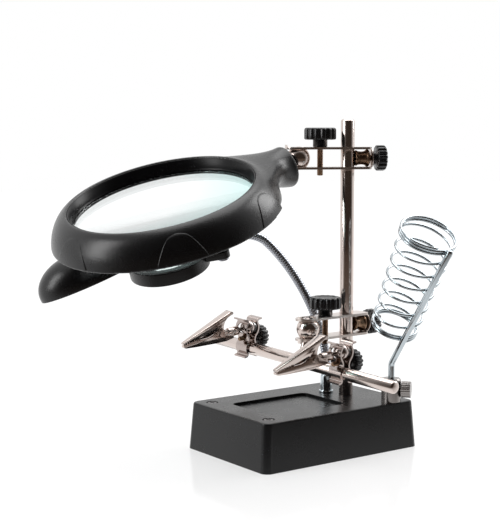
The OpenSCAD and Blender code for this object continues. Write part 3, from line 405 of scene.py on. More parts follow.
def finished(bm, name, place, material, smooth=True):
    """Puts a mesh that was shaped in millimetres in its place on the object."""
    bm.transform(place)
    mesh = bpy.data.meshes.new(name)
    bm.to_mesh(mesh)
    bm.free()
    for face in mesh.polygons:
        face.use_smooth = smooth
    mesh.materials.append(finish[material])
    piece = bpy.data.objects.new(name, mesh)
    bpy.context.scene.collection.objects.link(piece)
    return piece


def settle(piece):
    """Applies a piece's modifiers to its mesh."""
    seen = piece.evaluated_get(bpy.context.evaluated_depsgraph_get())
    mesh = bpy.data.meshes.new_from_object(seen)
    old = piece.data
    piece.modifiers.clear()
    piece.data = mesh
    bpy.data.meshes.remove(old)


def boolean(piece, kind, other):
    """Adds a cut or a join with another piece to a piece's modifiers."""
    step = piece.modifiers.new(other.name, "BOOLEAN")
    step.operation = kind
    step.solver = "EXACT"
    step.object = other


def squared_ring(x, w, top, foot, square, sides=48):
    """A ring across the neck: round at square 2, boxier above it."""
    ring = []
    for k in range(sides):
        a = math.tau * k / sides
        c, s = (math.copysign(abs(q) ** (2 / square), q) for q in (math.cos(a), math.sin(a)))
        ring.append((x, w * c, (top + foot) / 2 + (top - foot) / 2 * s))
    return ring


def unit(x):
    return min(1.0, max(0.0, x))


side_curve = [
    (OPEN_R + 1.5, 0, 0),
    (OPEN_R + 8.0, 0, -0.1 * HEAD_H),
    (HEAD_R - 1.2, 0, -0.55 * HEAD_H),
    (HEAD_R, 0, 0.7 - HEAD_H),
]
side = [bezier(side_curve, i / 24) for i in range(25)]
side = [(p.x, p.z) for p in side]
ring_profile = (
    [(OPEN_R + 0.2, -0.9), (OPEN_R + 0.35, -0.4), (OPEN_R + 0.8, -0.05)]
    + side
    + [(HEAD_R - 0.2, 0.2 - HEAD_H), (HEAD_R - 0.9, -HEAD_H), (WELL_R, -HEAD_H),
       (WELL_R, SEAT_Z), (OPEN_R + 0.2, SEAT_Z)]
)
bm = bmesh.new()
lathe(bm, ring_profile, 144)
housing = finished(bm, "housing", head_frame, "moulded_black")
flare_line = [(57, 37, 0), (69, 27, 0), (76, 14.2, 0), (NECK_END - 1.2, NECK_R, 0)]
sections = []
for i in range(19):
    t = i / 18
    spot = bezier(flare_line, t)
    ease = t * t * (3 - 2 * t)
    top = -1.0 * (1 - ease) + (NECK_Z + NECK_R) * ease
    foot = (1.2 - HEAD_H) * (1 - ease ** 1.6) + (NECK_Z - NECK_R) * ease ** 1.6
    sections.append(squared_ring(spot.x, spot.y, top, foot, 2.5 - 0.5 * ease))
for x, r in ((NECK_END - 0.5, NECK_R - 0.3), (NECK_END, NECK_R - 1.0)):
    sections.append(squared_ring(x, r, NECK_Z + r, NECK_Z - r, 2))
bm = bmesh.new()
loft(bm, sections)
neck = finished(bm, "neck_blank", head_frame, "moulded_black")
# What the neck leaves free: the lens's opening, the lower ring and the ball
bm = bmesh.new()
lathe(bm, [(0, 3), (OPEN_R + 1, 3), (OPEN_R + 1, SEAT_Z), (WELL_R, SEAT_Z),
           (WELL_R, -HEAD_H - 9), (0, -HEAD_H - 9)], 144, close=False)
well = finished(bm, "well_blank", head_frame, "moulded_black")
bm = bmesh.new()
bmesh.ops.create_uvsphere(bm, u_segments=64, v_segments=32, radius=DISH_R)
ball_frame = head_frame @ Matrix.Translation((HEAD_REACH, 0, -HEAD_RISE))
dish = finished(bm, "dish_blank", ball_frame, "moulded_black")
for blank in (well, dish):
    boolean(neck, "DIFFERENCE", blank)
settle(neck)
bpy.data.objects.remove(well)
bpy.data.objects.remove(dish)
boolean(housing, "UNION", neck)
grid = housing.modifiers.new("grid", "REMESH")
grid.mode = "VOXEL"
grid.voxel_size = GRID * MM
soften = housing.modifiers.new("soften", "SMOOTH")
soften.factor = 0.5
soften.iterations = 5
settle(housing)
# The flare alone is blended further, so the rim and the foot keep their edges
flare = housing.vertex_groups.new(name="flare")
to_head = head_frame.inverted()
for v in housing.data.vertices:
    at = to_head @ v.co
    outward = math.hypot(at.x, at.y) - OPEN_R - 3
    weight = unit(outward / 4) * unit((at.x - 40) / 12) * unit((HEAD_REACH - 12 - at.x) / 3)
    if weight > 0:
        flare.add([v.index], weight, "REPLACE")
blend_in = housing.modifiers.new("flare", "SMOOTH")
blend_in.factor = FLARE_BLEND
blend_in.iterations = FLARE_ROUNDS
blend_in.vertex_group = "flare"
settle(housing)
housing.vertex_groups.clear()
for face in housing.data.polygons:
    face.use_smooth = True
bpy.data.objects.remove(neck)
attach(housing, "magnifier")
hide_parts("head_housing")

# ---------------------------------------------------------------- thumb pads
# Arched pads of the same moulding, spaced about sixty degrees apart round the
# side of the ring, away from the neck, with a fine step round each.
PAD_ANGLES = (60, 120, 186, 246, 302)
PAD_R, PAD_UP, PAD_SUNK, PAD_FOOT, PAD_TIP = 15.2, 0.35, 0.3, 1.5, 0.25


def side_radius(z):
    """The ring's outer radius at a height."""
    for (r0, z0), (r1, z1) in zip(side, side[1:]):
        if z1 <= z <= z0:
            return r0 + (r1 - r0) * (z - z0) / (z1 - z0)
    return side[-1][0]


for count, angle in enumerate(PAD_ANGLES):
    bm = bmesh.new()
    bmesh.ops.create_grid(bm, x_segments=48, y_segments=28, size=1.0)
    for v in bm.verts:
        u, h = v.co.x, (v.co.y + 1) / 2
        reach = math.sqrt(max(0.0, 1 - h * h))
        across = u * PAD_R * (PAD_TIP + (1 - PAD_TIP) * reach)
        arch = math.sqrt(max(0.0, 1 - (across / (PAD_R * 1.03)) ** 2))
        z = PAD_FOOT - HEAD_H + h * PAD_R * arch
        edge = min(1.0, 14 * (1 - max(abs(u), h)))
        r = side_radius(z) - PAD_SUNK + (PAD_UP + PAD_SUNK) * math.sqrt(edge)
        turn = across / HEAD_R + math.radians(angle)
        v.co = (r * math.cos(turn), r * math.sin(turn), z)
    pad = finished(bm, f"thumb_pad_{count + 1}", head_frame, "moulded_black")
    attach(pad, "magnifier")

# ---------------------------------------------------------------- main lens
# A biconvex glass lens as wide as a hand, ground smooth on both faces and held
# at its edge between the bezel and the lower ring.
LENS_R, LENS_T, LENS_EDGE = OPEN_R - 0.5, 6.4, 4.0
# Centre and reach of the glass's painted blue-green tint, which stands in for light seen in the glass
PAINTED_TINT_AT, PAINTED_TINT_FROM, PAINTED_TINT_TO = Vector((-14, 30, LENS_LOW)), 45 * MM, 92 * MM


def lens_profile(radius, thick, edge, steps):
    """Half the section of a lens with two ball-shaped faces."""
    sag = (thick - edge) / 2
    ground = (radius * radius + sag * sag) / (2 * sag)
    top = []
    for i in range(steps + 1):
        x = radius * i / steps
        top.append((x, thick / 2 - ground + math.sqrt(ground * ground - x * x)))
    return top + [(x, -z) for x, z in reversed(top)]


bm = bmesh.new()
lathe(bm, lens_profile(LENS_R, LENS_T, LENS_EDGE, 24), 160, close=False)
lens_frame = head_frame @ Matrix.Translation((0, 0, LENS_LOW + LENS_EDGE / 2))
main_lens = finished(bm, "lens", lens_frame, "lens_glass")
# Painted tint: the glass is coloured a deeper blue-green toward its rim, most on the small lens's side, standing
# in for the teal light seen in the glass there
painted_lens_tint = finish["lens_glass"].copy()
painted_lens_tint.name = "lens_tint"
n, l = painted_lens_tint.node_tree.nodes, painted_lens_tint.node_tree.links
at = n.new("ShaderNodeTexCoord")
off = n.new("ShaderNodeVectorMath")
off.operation = "DISTANCE"
off.inputs[1].default_value = head_frame @ PAINTED_TINT_AT
l.new(at.outputs["Object"], off.inputs[0])
spread = n.new("ShaderNodeMapRange")
spread.inputs["From Min"].default_value = PAINTED_TINT_FROM
spread.inputs["From Max"].default_value = PAINTED_TINT_TO
l.new(off.outputs["Value"], spread.inputs["Value"])
# Painted tint: near white at its centre, blue-green toward the rim
painted_rim_tone = n.new("ShaderNodeValToRGB")
painted_rim_tone.color_ramp.elements[0].color = (0.97, 0.995, 0.995, 1)
painted_rim_tone.color_ramp.elements[1].color = (0.60, 0.90, 0.88, 1)
l.new(spread.outputs["Result"], painted_rim_tone.inputs["Fac"])
glass = next(x for x in n if x.type == "BSDF_PRINCIPLED")
l.new(painted_rim_tone.outputs["Color"], glass.inputs["Base Color"])
main_lens.data.materials[0] = painted_lens_tint
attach(main_lens, "magnifier")
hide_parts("main_lens")

# A glossy black bezel slopes in from the rim to the lens and holds its edge.
bm = bmesh.new()
lathe(bm, [(OPEN_R + 0.15, -0.75), (OPEN_R - 0.2, -0.7), (OPEN_R - 0.55, -1.0),
           (OPEN_R - 1.6, LENS_LOW + 5.4), (OPEN_R - 1.9, LENS_LOW + 4.6),
           (OPEN_R - 2.2, LENS_LOW + 4.35), (OPEN_R + 0.15, LENS_LOW + 4.05)], 180)
bezel = finished(bm, "bezel", head_frame, "gloss_black")
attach(bezel, "magnifier")
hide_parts("head_bezel")

# The lower ring opens out below the lens, and a boss on it takes the small
# lens's pivot pin.
PIVOT_AT = Vector((-2, -62, 0))
bm = bmesh.new()
lathe(bm, [(OPEN_R - 2.6, LENS_LOW - 0.35), (OPEN_R + 0.15, LENS_LOW - 0.05),
           (OPEN_R + 0.15, LENS_LOW - 2.25), (HEAD_R - 3.1, LENS_LOW - 2.25),
           (HEAD_R - 3.1, -HEAD_H), (HEAD_R - 3.6, -HEAD_H - 0.6), (HEAD_R - 4.4, -HEAD_H - 0.9),
           (HEAD_R - 5.6, -HEAD_H - 0.9), (OPEN_R - 2.2, LENS_LOW - 2.0)], 160)
lower_ring = finished(bm, "lower_ring", head_frame, "moulded_black")
bm = bmesh.new()
lathe(bm, [(1.75, LENS_LOW - 2.3), (5.2, LENS_LOW - 2.3), (5.2, -HEAD_H - 0.6),
           (4.9, -HEAD_H - 0.9), (1.75, -HEAD_H - 0.9)], 48)
pin_boss = finished(bm, "pin_boss", head_frame @ Matrix.Translation(PIVOT_AT), "moulded_black")
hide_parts("head_bottom_ring")
for piece in (lower_ring, pin_boss):
    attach(piece, "magnifier")

# ---------------------------------------------------------------- gooseneck hose
# A spiral-wound steel hose that bends by hand and holds its curve, clamped in
# the ferrule below and in the lamp's collar above.
HOSE_R, HOSE_PITCH = 2.98, 1.7
GROOVE = (0.0, 0.1, 0.34, 0.1)
HOSE_FOOT = Vector((30, 13, 26))
LAMP_AT, LAMP_PITCH = Vector((-85, 73, 118.7)), math.radians(22)
run = Vector((LAMP_AT.x - HOSE_FOOT.x, LAMP_AT.y - HOSE_FOOT.y))
hose_way = Vector((run.x, run.y, 0)) / run.length
slope = Vector((math.cos(LAMP_PITCH), -math.sin(LAMP_PITCH)))
hose_end = Vector((run.length, LAMP_AT.z)) - 6 * slope
rise_curve = [(0, 47), (0, 72), (18, 110), (41, 131)]
fall_curve = [(41, 131), (55, 142.5), tuple(hose_end - 26 * slope), tuple(hose_end)]


def walk(points, pitch):
    """Evenly spaced points along a polyline."""
    out, left = [points[0].copy()], pitch
    for a, b in zip(points, points[1:]):
        length = (b - a).length
        while left <= length:
            out.append(a.lerp(b, left / length))
            left += pitch
        left -= length
    return out


def tube(bm, path, radius, sides, side_hint):
    """Draws a round section along a path; radius says how wide each point is."""
    ring = None
    for i, at in enumerate(path):
        way = (path[min(i + 1, len(path) - 1)] - path[max(i - 1, 0)]).normalized()
        a = side_hint.cross(way).normalized()
        b = way.cross(a)
        r = radius(i)
        turns = [math.tau * k / sides for k in range(sides)]
        spots = [at + r * (math.cos(t) * a + math.sin(t) * b) for t in turns]
        if ring is None:
            verts = [bm.verts.new(p) for p in spots]
            ring = [bm.edges.new((p, q)) for p, q in zip(verts, verts[1:] + verts[:1])]
            bmesh.ops.contextual_create(bm, geom=ring)
        else:
            made = bmesh.ops.extrude_edge_only(bm, edges=ring)["geom"]
            new = {v for v in made if isinstance(v, bmesh.types.BMVert)}
            ring = [e for e in made
                    if isinstance(e, bmesh.types.BMEdge) and new.issuperset(e.verts)]
            for v in new:
                v.co = spots[min(range(sides), key=lambda k: (before[k] - v.co).length_squared)]
        before = spots
    bmesh.ops.contextual_create(bm, geom=ring)
    bmesh.ops.recalc_face_normals(bm, faces=bm.faces)


hose_line = [HOSE_FOOT.copy()]
for curve in (rise_curve, fall_curve):
    for i in range(49):
        q = bezier([(x, z, 0) for x, z in curve], i / 48)
        hose_line.append(Vector((HOSE_FOOT.x, HOSE_FOOT.y, q.y)) + q.x * hose_way)
lamp_way = math.cos(LAMP_PITCH) * hose_way - Vector((0, 0, math.sin(LAMP_PITCH)))
hose_line.append(LAMP_AT - 0.5 * lamp_way)
hose_path = walk(hose_line, HOSE_PITCH / len(GROOVE))
hose_side = Vector((-hose_way.y, hose_way.x, 0))
bm = bmesh.new()
tube(bm, hose_path, lambda i: HOSE_R - GROOVE[i % len(GROOVE)], 20, hose_side)
hose = finished(bm, "hose", Matrix.Scale(MM, 4), "hose_steel")
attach(hose, "root")
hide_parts("gooseneck_hose")

# ---------------------------------------------------------------- lamp shade
# A leaf-shaped black shade, moulded thin, that hoods the small lamp board and
# its clear window. The hose enters a short collar at its narrow end.
SHADE_L, SHADE_W, SHADE_H, SHADE_RIM, SHADE_WALL = 62.0, 40.0, 19.0, -3.0, 2.2
lamp_frame = (
    Matrix.Scale(MM, 4)
    @ Matrix.Translation(LAMP_AT)
    @ Matrix.Rotation(math.atan2(hose_way.y, hose_way.x), 4, "Z")
    @ Matrix.Rotation(LAMP_PITCH, 4, "Y")
)
bm = bmesh.new()
bmesh.ops.create_uvsphere(bm, u_segments=72, v_segments=48, radius=1.0)
widest = 0.56 * SHADE_L
for v in bm.verts:
    x, y, z = v.co
    along = widest + x * (SHADE_L * 0.43 if x > 0 else widest + 1.5)
    narrow = 1.0 if x > 0 else 1 - 0.13 * x * x
    v.co = (along, y * SHADE_W / 2 * narrow, z * SHADE_H * narrow)
bmesh.ops.bisect_plane(bm, geom=bm.verts[:] + bm.edges[:] + bm.faces[:],
                       plane_co=(0, 0, SHADE_RIM), plane_no=(0, 0, -1), clear_outer=True)
bmesh.ops.recalc_face_normals(bm, faces=bm.faces)
bmesh.ops.solidify(bm, geom=bm.faces[:], thickness=SHADE_WALL)
shade = finished(bm, "shade", lamp_frame, "moulded_black")
edge = shade.modifiers.new("edge", "BEVEL")
edge.width = 0.5 * MM
edge.segments = 3
edge.limit_method = "ANGLE"
settle(shade)
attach(shade, "root")
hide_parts("lamp_shade")

bm = bmesh.new()
lathe(bm, [(3.0, -4.5), (4.3, -4.5), (4.8, -4.0), (5.6, 2.0), (5.6, 6.0), (3.0, 6.0)], 48)
bm.transform(Matrix.Rotation(math.radians(90), 4, "Y"))
collar = finished(bm, "lamp_collar", lamp_frame, "moulded_black")
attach(collar, "root")

# ---------------------------------------------------------------- coil rest
# Spring wire wound into a cone that takes a hot iron, close-wound at both
# ends, chromed, and brazed at its mouth to a bent rod in the base's socket.
WIRE_R, TURNS, COIL_L, MOUTH_R, TOE_R, ROD_R = 0.9, 11, 75.4, 17.8, 14.6, 2.05
# The socket's place on the base: in from the edges of its top
BASE_HALF_L, BASE_HALF_W, TOP_INSET = 61.5, 42.5, 1.9
STAND_AT = Vector((BASE_HALF_L - TOP_INSET - 14.5, -(BASE_HALF_W - TOP_INSET - 6.4), 30))
# The rod stands upright to its bend, then leans
BEND_UP, BEND_R, LEAN, LEAN_L = 24.5, 6.0, math.radians(34), 90.6
stand_frame = (
    Matrix.Scale(MM, 4)
    @ Matrix.Translation(STAND_AT + Vector((0, 0, BEND_UP)))
    @ Matrix.Rotation(LEAN, 4, "X")
)
# Turns wound close at each end, and how far apart they are
CLOSE = 2.3
close_pitch = 2 * WIRE_R * 1.12
COIL_STEPS = 40


def coil_height(u):
    """How far up the coil its wire is after u turns."""
    if u < CLOSE:
        return u * close_pitch
    if u > TURNS - CLOSE:
        return COIL_L - (TURNS - u) * close_pitch
    opened = (u - CLOSE) / (TURNS - 2 * CLOSE)
    return CLOSE * close_pitch + opened * (COIL_L - 2 * CLOSE * close_pitch)


coil_path = []
for i in range(TURNS * COIL_STEPS + 1):
    u = i / COIL_STEPS
    z = coil_height(u)
    r = TOE_R + (MOUTH_R - TOE_R) * z / COIL_L
    coil_path.append(Vector((r * math.cos(math.tau * u), r * math.sin(math.tau * u), z)))
bm = bmesh.new()
wire_ends = (0, TURNS * COIL_STEPS)
tube(bm, coil_path, lambda i: WIRE_R * (0.6 if i in wire_ends else 1), 14, Vector((0, 0, 1)))


def beside_rod(turn, off):
    """A point off the rod's axis, turned away from its lean."""
    return Vector((-off * math.sin(math.radians(turn)), off * math.cos(math.radians(turn)), 0))


beside = WIRE_R + ROD_R - 0.05
toe_at = beside_rod(-20, TOE_R + beside)
across = beside_rod(1.5, MOUTH_R + beside) - toe_at
coil_rise = math.sqrt(COIL_L ** 2 - across.length_squared)
heading = math.atan2(across.y, across.x)
coil = finished(
    bm, "coil",
    stand_frame
    @ Matrix.Translation(toe_at + Vector((0, 0, LEAN_L - coil_rise)))
    @ Matrix.Rotation(heading, 4, "Z")
    @ Matrix.Rotation(math.acos(coil_rise / COIL_L), 4, "Y")
    @ Matrix.Rotation(math.radians(-110) - heading, 4, "Z"),
    "bright_chrome")
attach(coil, "iron_rest")
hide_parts("stand_coil")

bend_back = BEND_R * math.tan(LEAN / 2)
lean_way = Vector((0, -math.sin(LEAN), math.cos(LEAN)))
rod_line = [Vector((0, 0, 3.2)), Vector((0, 0, 14))]
for i in range(17):
    a = LEAN * i / 16
    back, up = BEND_R * (math.cos(a) - 1), BEND_R * math.sin(a)
    rod_line.append(Vector((0, back, BEND_UP - bend_back + up)))
for d in (60, LEAN_L + 0.4, LEAN_L + 1.0, LEAN_L + 1.6):
    rod_line.append(Vector((0, 0, BEND_UP)) + d * lean_way)
rod_end = {len(rod_line) - 1: 0.62, len(rod_line) - 2: 0.86}
bm = bmesh.new()
tube(bm, rod_line, lambda i: ROD_R * rod_end.get(i, 1), 28, Vector((1, 0, 0)))
rod_frame = Matrix.Scale(MM, 4) @ Matrix.Translation(STAND_AT)
rest_rod = finished(bm, "rest_rod", rod_frame, "bright_chrome")
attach(rest_rod, "iron_rest")
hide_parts("stand_rod")

# ---------------------------------------------------------------- clamp knobs
# Fluted knobs of glossy black plastic with a wide boss below, moulded on bronze
# screws whose cut thread shows between the plates and in the knob's face.


def axis_frame(at, way):
    """Frame in millimetres at a point, whose Z runs along a direction."""
    turned = way.to_track_quat("Z", "X").to_matrix().to_4x4()
    return Matrix.Translation(at) @ turned @ Matrix.Scale(MM, 4)


def joint_line(turn):
    """A joint's point and the direction of its axis."""
    return Vector(joint[turn]["pos_m"]), Vector(joint[turn]["axis"]).normalized()


def knob_frame(turn, name):
    """Frame whose Z runs up a knob's screw from its tip, and the whole length."""
    at, way = joint_line(turn)
    spots = [v.co - at for v in node[name].data.vertices]
    heights = [p.dot(way) for p in spots]
    low, high = min(heights), max(heights)
    head = max(spots, key=lambda p: (p - p.dot(way) * way).length).dot(way)
    if head < (low + high) / 2:
        way, low, high = -way, -high, -low
    return axis_frame(at + low * way, way), (high - low) / MM


THREAD_PITCH, THREAD_DEEP, FLUTE_DEEP = 0.7, 0.22, 1.05


def fluted_knob(turn, name, body, across, thick, flutes, boss_r, boss_h, screw_r, shows_screw):
    """A knob and its screw; shows_screw lets the screw's end show in the knob's face."""
    place, length = knob_frame(turn, name)
    r, foot = across / 2, length - thick
    boss = foot - boss_h
    profile = [
        (0, boss), (boss_r - 0.4, boss), (boss_r, boss + 0.4), (boss_r, foot),
        (r - 1.2, foot), (r - 0.5, foot + 0.15), (r - 0.1, foot + 0.5), (r, foot + 1.0),
        (r, length - 1.5), (r - 0.2, length - 0.8), (r - 0.7, length - 0.25), (r - 1.4, length),
        (r - 2.6, length), (r - 3.1, length - 0.3), (r - 3.3, length - 0.75), (0, length - 0.75),
    ]
    bm = bmesh.new()
    lathe(bm, profile, flutes * 10, close=False)
    for v in bm.verts:
        out = math.hypot(v.co.x, v.co.y)
        if out > r - 2.0 and v.co.z >= foot:
            groove = max(0.0, math.cos(flutes * math.atan2(v.co.y, v.co.x)))
            pull = 1 - FLUTE_DEEP * groove ** 0.8 / r
            v.co.x *= pull
            v.co.y *= pull
    head = finished(bm, name + "_head", place, "knob_black")
    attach(head, body)
    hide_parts(name)
    threads = int(boss / THREAD_PITCH)
    screw = [(0, 0), (screw_r - 0.5, 0), (screw_r - 0.1, 0.4)]
    for i in range(threads):
        z = 0.6 + i * (boss - 0.8) / threads
        screw += [(screw_r, z), (screw_r - THREAD_DEEP, z + THREAD_PITCH / 2)]
    screw += [(screw_r - 0.1, boss), (screw_r - 0.1, foot)]
    if shows_screw:
        screw += [(screw_r - 0.1, length - 0.5), (screw_r - 0.4, length - 0.15), (0, length - 0.1)]
    else:
        screw += [(0, foot)]
    bm = bmesh.new()
    lathe(bm, screw, 32, close=False)
    shaft = finished(bm, name + "_screw", place, "dark_bronze", smooth=False)
    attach(shaft, body)


for level in ("upper", "lower"):
    fluted_knob(
        level + "_squeeze_knob_turn", level + "_squeeze_knob", level + "_squeeze", across=20.5,
        thick=7.7, flutes=14, boss_r=4.7, boss_h=4.6, screw_r=2.0, shows_screw=False)
    fluted_knob(
        level + "_post_knob_turn", level + "_post_knob", level + "_post_screw", across=16.5,
        thick=6.4, flutes=15, boss_r=4.5, boss_h=2.0, screw_r=2.0, shows_screw=False)
for hand in ("left", "right"):
    fluted_knob(
        hand + "_grip_knob_turn", hand + "_clamp_knob", hand + "_grip_screw", across=15.0,
        thick=6.0, flutes=15, boss_r=3.7, boss_h=1.6, screw_r=1.5, shows_screw=True)

# ---------------------------------------------------------------- post spools
# A turned steel spool fills the gap between the two plates beside the post, and
# a cupped washer sits between it and the knob.
CREASE = math.radians(35)


def span_along(turn, name):
    """Where a node starts and ends along a joint's axis, in millimetres."""
    at, way = joint_line(turn)
    reach = [(v.co - at).dot(way) / MM for v in node[name].data.vertices]
    return min(reach), max(reach)


for level in ("upper", "lower"):
    turn = level + "_post_knob_turn"
    place = axis_frame(*joint_line(turn))
    low, high = span_along(turn, level + "_post_block")
    bm = bmesh.new()
    lathe(bm, [(0, low), (4.6, low), (5.0, low + 0.5), (5.0, low + 1.2), (4.5, low + 2.0),
               (4.2, (low + high) / 2), (4.5, high - 2.6), (5.3, high - 1.7), (5.6, high - 1.3),
               (5.6, high - 0.4), (5.2, high), (0, high)], 72, close=False)
    spool = finished(bm, level + "_spool", place, "dark_bronze")
    low, high = span_along(turn, level + "_post_washer")
    bm = bmesh.new()
    lathe(bm, [(2.2, low), (6.2, low), (6.6, low + 0.15), (6.7, low + 0.5), (6.4, low + 0.8),
               (5.2, high - 0.4), (4.8, high), (2.2, high)], 72)
    washer = finished(bm, level + "_cup_washer", place, "plate_nickel")
    for piece, name in ((spool, level + "_post_block"), (washer, level + "_post_washer")):
        piece.data.set_sharp_from_angle(angle=CREASE)
        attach(piece, level + "_clamp")
        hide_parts(name)

# ---------------------------------------------------------------- turned rods
# The post and the cross rod are ground steel bar, nickel plated, with their ends
# chamfered in the lathe so that the clamps slide on without a scratch.
body_of = {name: body for body, names in record["behaviour"]["bodies"].items() for name in names}


def long_axis(name):
    """Middle, direction and length of a straight bar."""
    spots = [v.co for v in node[name].data.vertices]
    start = max(spots, key=lambda p: (p - spots[0]).length)
    way = (max(spots, key=lambda p: (p - start).length) - start).normalized()
    for _ in range(4):
        reach = [p.dot(way) for p in spots]
        low, high = min(reach), max(reach)
        tops = [p for p, r in zip(spots, reach) if r > high - MM]
        toes = [p for p, r in zip(spots, reach) if r < low + MM]
        top, toe = (Vector([(min(c) + max(c)) / 2 for c in zip(*end)]) for end in (tops, toes))
        way = (top - toe).normalized()
    middle = (top + toe) / 2
    return middle + way * ((low + high) / 2 - middle.dot(way)), way, high - low


for name, piece_name, bar_r in (("post", "post_bar", 4.5), ("cross_rod", "cross_bar", 4.0)):
    middle, way, length = long_axis(name)
    half = length / 2 / MM
    end = [(bar_r, half - 1.1), (bar_r - 0.25, half - 0.75), (bar_r - 0.9, half - 0.12),
           (bar_r - 1.15, half), (0, half)]
    bm = bmesh.new()
    lathe(bm, [(x, -z) for x, z in reversed(end)] + end, 96, close=False)
    bar = finished(bm, piece_name, axis_frame(middle, way), "warm_nickel")
    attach(bar, body_of[name])
    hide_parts(name)

# ---------------------------------------------------------------- rounded edges
# Stamped plates, castings and the moulded base have their sharp edges broken,
# so each edge carries a thin line of light.
JOINED, FLAT, SHARP = 0.00001, math.radians(1.5), math.radians(38)


def rounded_copy(name, width):
    """Puts a copy of a node with its outer edges rounded in the node's place."""
    bm = bmesh.new()
    bm.from_mesh(node[name].data)
    bmesh.ops.remove_doubles(bm, verts=bm.verts, dist=JOINED)
    bmesh.ops.dissolve_limit(bm, angle_limit=FLAT, verts=bm.verts, edges=bm.edges)
    sharp = [e for e in bm.edges
             if len(e.link_faces) == 2 and e.is_convex and e.calc_face_angle() > SHARP]
    bmesh.ops.bevel(bm, geom=sharp, offset=width * MM, offset_type="OFFSET", segments=2,
                    profile=0.5, affect="EDGES", clamp_overlap=True, material=-1)
    mesh = bpy.data.meshes.new(name + "_rounded")
    bm.to_mesh(mesh)
    bm.free()
    for face in mesh.polygons:
        face.use_smooth = True
    mesh.set_sharp_from_angle(angle=math.radians(32))
    mesh.materials.append(node[name].data.materials[0])
    piece = bpy.data.objects.new(name + "_rounded", mesh)
    bpy.context.scene.collection.objects.link(piece)
    flat = piece.modifiers.new("flat", "WEIGHTED_NORMAL")
    flat.keep_sharp = True
    settle(piece)
    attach(piece, body_of[name])
    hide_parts(name)


for name, width in (
    ("base_shell", 0.55),
    ("upper_top_plate", 0.3), ("upper_bottom_plate", 0.3),
    ("lower_top_plate", 0.3), ("lower_bottom_plate", 0.3),
    ("stand_socket", 0.3), ("hose_ferrule", 0.2), ("stand_screw", 0.15),
    ("rod_stem", 0.2), ("aux_ring", 0.5),
):
    rounded_copy(name, width)

# ---------------------------------------------------------------- toothed clips
# Each clip is two stamped channels on one rivet, with a wire spring wound round
# it: the upper one runs back into a curled handle, the lower one rises in two
# ears and rolls into a barrel, which a turned stem joins to the ball.
CLIP_L, PIVOT_X, PIVOT_Z, WALL, BARREL_R = 51.0, -23.0, 1.6, 0.8, 3.1
LOWER_HALF_W, UPPER_HALF_W, NOSE_HALF_W, EDGE_BREAK = 4.3, 3.2, 1.5, 0.16
TEETH, TOOTH_PITCH, TOOTH_RISE = 7, 1.7, 0.14
SPRING_R, SPRING_WIRE, SPRING_TURNS, SPRING_W, SPRING_STEPS = 2.3, 0.42, 4.4, 4.0, 100
# The stem is turned a little under size, and its shoulder set back as much
STEM_EASE, STEM_CORE, SHOULDER_R, SHOULDER_X = 0.16, 0.3, 1.6, -8.0


def clip_frame(hand):
    """Clip's own frame: origin in its ball, +X toward the ball, Y along the rivet."""
    ball = Vector(joint[hand + "_clip_tilt"]["pos_m"])
    rivet = Vector(joint[hand + "_jaw_open"]["pos_m"]) - ball
    across = Vector(joint[hand + "_jaw_open"]["axis"]).normalized()
    for across in (across, -across):
        d = (rivet - rivet.dot(across) * across).normalized()
        e = across.cross(d)
        slope = math.atan2(PIVOT_Z, -PIVOT_X)
        along = -math.cos(slope) * d + math.sin(slope) * e
        up = math.sin(slope) * d + math.cos(slope) * e
        if up.z > 0:
            break
    place = Matrix((along, across, up)).transposed().to_4x4()
    return Matrix.Translation(ball) @ place @ Matrix.Scale(MM, 4)


def half_width(x, full):
    """Half a channel's width: it tapers from the pivot to the nose."""
    taper = max(0.0, x + CLIP_L) / (CLIP_L + PIVOT_X - 5)
    return min(full, NOSE_HALF_W + (full - NOSE_HALF_W) * taper)


def arc(cx, cz, radius, start, stop, steps):
    turns = [math.radians(start + (stop - start) * i / steps) for i in range(steps + 1)]
    return [(cx + radius * math.cos(t), cz + radius * math.sin(t)) for t in turns]


def channel(outline, hollow, full, name, place):
    """A folded channel: its side outline, less the space between its walls."""
    solids = []
    for points, inset in ((outline, 0.0), (hollow, WALL)):
        bm = bmesh.new()
        face = bm.faces.new([bm.verts.new((x, -1, z)) for x, z in points])
        made = bmesh.ops.extrude_face_region(bm, geom=[face])["geom"]
        far = [v for v in made if isinstance(v, bmesh.types.BMVert)]
        bmesh.ops.translate(bm, verts=far, vec=(0, 2, 0))
        for v in bm.verts:
            v.co.y *= half_width(v.co.x, full) - inset
        bmesh.ops.recalc_face_normals(bm, faces=bm.faces)
        solids.append(finished(bm, name, place, "warm_nickel"))
    shell, space = solids
    boolean(shell, "DIFFERENCE", space)
    edge = shell.modifiers.new("edge", "BEVEL")
    edge.width = EDGE_BREAK * MM
    edge.segments = 2
    edge.limit_method = "ANGLE"
    edge.angle_limit = SHARP
    settle(shell)
    bpy.data.objects.remove(space)
    shell.data.set_sharp_from_angle(angle=CREASE)
    return shell


def tooth_line(start, points_up):
    """Points of the toothed edge, from the nose back."""
    out = []
    for i in range(TEETH):
        x = start + i * TOOTH_PITCH
        z = TOOTH_RISE * (x + CLIP_L)
        low, high = (-0.95, 0.35) if points_up else (0, 1.1)
        out += [(x, z + low), (x + TOOTH_PITCH / 2, z + high)]
    return out


